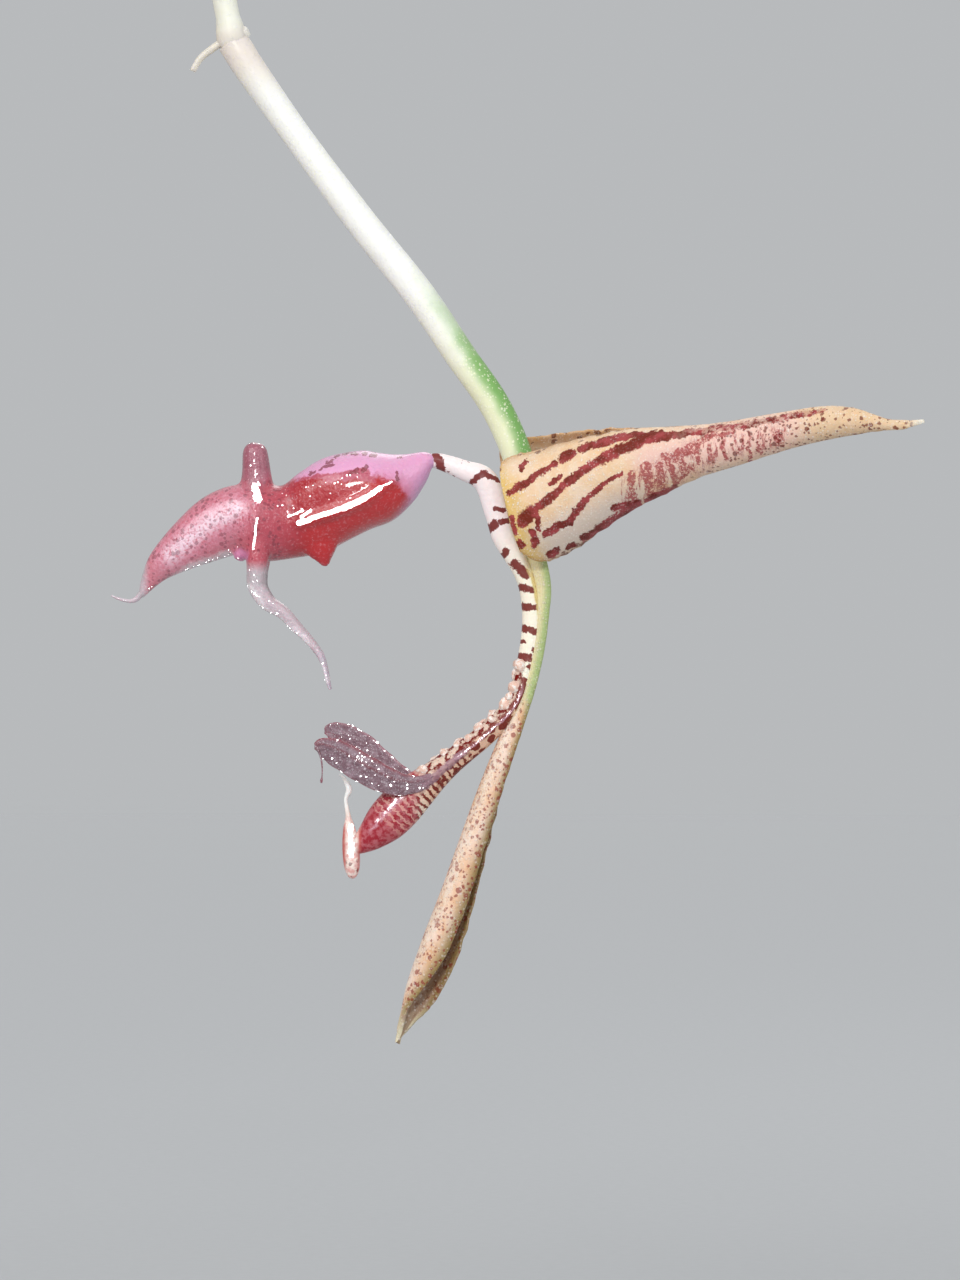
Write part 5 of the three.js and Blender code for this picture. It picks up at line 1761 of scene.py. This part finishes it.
def lip_skin():
    material, tree, shader = fleshy("lip_skin", 0.6, 0.15, (1.4, 0.4, 0.6), {"Coat Roughness": 0.08})
    place = millimetres(tree)
    x, z = axis(place, "X"), axis(place, "Z")
    side = side_view(place, 0.3)
    cloud = clouds(place, scale=0.8, detail=6, roughness=0.7)
    fine = clouds(place, scale=6, detail=3)
    wander = times(minus(cloud, 0.5), 2.6)
    line = plus(z, wander)
    line = plus(line, times(rise(x, -7.6, -5.2), 2.6))
    crimson = either(rise(line, -1.2, -1.9), times(strokes(side, BLUSH), 0.8))
    body = mixed(crimson, LIP_LILAC, LIP_CRIMSON)
    bright = strokes(side, (((-7.6, -3), (-11.6, -5.2), 2.6),), soft=0.4)
    body = mixed(times(bright, 0.7), body, LIP_SCARLET)
    end = rise(minus(x, times(z, 0.6)), -5.3, -4.2)
    body = mixed(times(end, 0.6), body, LIP_ROOT)
    waist = rise(plus(x, times(wander, 0.8)), -12.6, -15.2)
    body = mixed(times(waist, 0.85), body, LIP_MAUVE)
    body = mixed(times(rise(x, -15.8, -17.4), 0.8), body, LIP_PINK)
    curve = ((-17.1, -3.4), (-18.8, -4.3)), ((-18.8, -4.3), (-21.2, -6.2))
    # Painted highlight: two pale bands along the front part, a broad rose one that is partly its own tone and
    # a narrow near-white one.
    for width, share, tone in ((2.2, 0.6, FRONT_ROSE_HIGHLIGHT), (0.95, 0.75, FRONT_PAINTED_HIGHLIGHT)):
        highlight_band = strokes(side, [(*ends, width) for ends in curve], soft=0.45)
        cut = node(tree, "MapRange", {"Value": fine, "From Min": 0.3, "From Max": 0.55}).outputs[0]
        highlight_band = times(highlight_band, cut)
        body = mixed(times(highlight_band, share), body, tone)
    rim = strokes(side, CLEAR_RIM, soft=0.3)
    bead_glints = specked(place, spacing=0.24, radius=0.62, ragged=0.04)
    bead_glints = times(bead_glints, rim)
    dots = specked(place, spacing=0.3, radius=0.6, ragged=0.12)
    dots = times(dots, rise(x, -12.4, -15))
    body = mixed(times(dots, 0.5), body, LIP_DOT)
    away = times(calc("ABSOLUTE", plus(x, 16)), 1.4)
    horn = rise(minus(z, away), -3.4, -1.6)
    body = mixed(times(horn, 0.85), body, LIP_HORN)
    thin = rise(plus(z, times(x, 0.06)), -7.4, -8.4)
    clear = either(rise(x, -17.6, -17), rise(x, -22.4, -23))
    thin = times(thin, either(clear, 0.1))
    body = mixed(times(thin, 0.85), body, CLEAR_GREY)
    body = mixed(times(strokes(side, LIP_MARKS), 0.8), body, MARK_RED)
    body = mixed(times(rim, 0.8), body, RIM_PALE)
    lilac = strokes(side, (((-16.9, -6.3), (-16.8, -6.3), 0.9),), soft=0.2)
    body = mixed(times(lilac, 0.6), body, KNOB_LILAC)
    # Pale grains, partly the lip's own pale cells and partly painted glint.
    grains = specked(place, spacing=0.25, radius=0.28, ragged=0.05)
    grains = times(grains, strokes(side, WET_GRAINS))
    body = mixed(times(grains, 0.6), body, WET_PALE_GLINT)
    wet = strokes(side_view(place, 0.12), WET_CREST)
    wet = either(wet, strokes(side, WET_HORN, soft=0.3))
    wet = either(wet, grains, bead_glints)
    body = mixed(times(rise(fine, 0.52, 0.75), 0.25), body, LIP_GRAIN)
    relief = plus(times(fine, 0.035), times(cloud, 0.16))
    gloss = ranging(fine, 0.16, 0.32)
    gloss = ranging(wet, gloss, 0.08)
    coat = ranging(cloud, 0.3, 0.7)
    flats = {"Share": wet, "Facing": LIP_FLATS_FACE, "Surface": bumped(relief)}
    surface = use(wet_flats, flats)
    feed(shader, {"Base Color": body, "Roughness": gloss, "Coat Weight": coat, "Normal": surface})
    return material


def body_at(fine, x, z):
    """Half the body's width at this place in the side view."""
    near = min(fine, key=lambda station: abs(station[0] - x))
    share = min(0.97, abs(z - near[1]) / near[2])
    return near[3] * math.sqrt(1 - share * share)


def lip_core():
    """The swollen parts, as overlapping closed shapes that are melted into one another afterwards."""
    fine = flowing(LIP_STATIONS, 110)
    points = [Vector((x, 0, z)) for x, z, *_ in fine]
    shapes = [tube(points, [(high, wide) for *_, high, wide in fine], 40, exponent=2.1)]
    shapes.append(drawn_tube(HORN, 26, 24))
    for side in (1, -1):
        rib = flowing(SIDE_RIB, 24)
        points = [Vector((x, side * (body_at(fine, x, z) - 0.16), z)) for x, z, _ in rib]
        shapes.append(tube(points, [half for *_, half in rib], 14, Vector((1, 0, 0))))
        ridge = flowing(LONG_RIDGE, 40)
        points = [Vector((x, side * (body_at(fine, x, z) + stand - 0.5), z)) for x, z, stand in ridge]
        shapes.append(tube(points, [0.5] * len(points), 18, Vector((0, side, 0))))
        tip = flowing(KEEL_TIPS, 16)
        points = [Vector((x, side * 0.85, z)) for x, z, _ in tip]
        shapes.append(tube(points, [(half, half * 0.5) for *_, half in tip], 18))
        base = flowing(BRISTLE[:4], 20)
        points = [Vector((x, side * y, z)) for x, z, y, _ in base]
        shapes.append(tube(points, [half for *_, half in base], 18))
        knob = bmesh.new()
        middle = Vector((KNOB[0], side * KNOB[1], KNOB[2]))
        bmesh.ops.create_icosphere(knob, subdivisions=3, radius=KNOB[3], matrix=Matrix.Translation(middle))
        shapes.append(knob)
    return joined(shapes)


def melted(mesh, grain, rounds):
    """One smooth closed shape round all these shapes."""
    bmesh.ops.recalc_face_normals(mesh, faces=mesh.faces)
    core = standing("core", mesh_data("core", mesh))
    mould = core.modifiers.new("mould", "REMESH")
    mould.mode = "VOXEL"
    mould.voxel_size = grain
    soften = core.modifiers.new("soften", "SMOOTH")
    soften.factor = 0.5
    soften.iterations = rounds
    bpy.context.view_layer.update()
    settled(core)
    result = bmesh.new()
    result.from_mesh(core.data)
    bpy.data.objects.remove(core)
    return result


def lip():
    draw = random.Random(4)
    shapes = [melted(lip_core(), MOULD_GRAIN, 5), drawn_tube(AWN, 24, 10)]
    for side in (1, -1):
        fine = flowing(BRISTLE[2:], 70)
        points = [Vector((x, side * y, z)) for x, z, y, _ in fine]
        shapes.append(tube(points, [half for *_, half in fine], 16))
        for k in range(BEADS):
            x, z, y, half = fine[6 + round(2.9 * k)]
            outward = Vector((-0.75, side * draw.uniform(-0.3, 0.6), -0.5)).normalized()
            middle = Vector((x, side * y, z)) + outward * half * 0.92
            shapes.append(bead(middle, draw.uniform(0.05, 0.1) * (0.4 + half)))
    return joined(shapes)


on_each_bloom("fleshy_lip", lip(), lip_skin(), "lip", "lip")
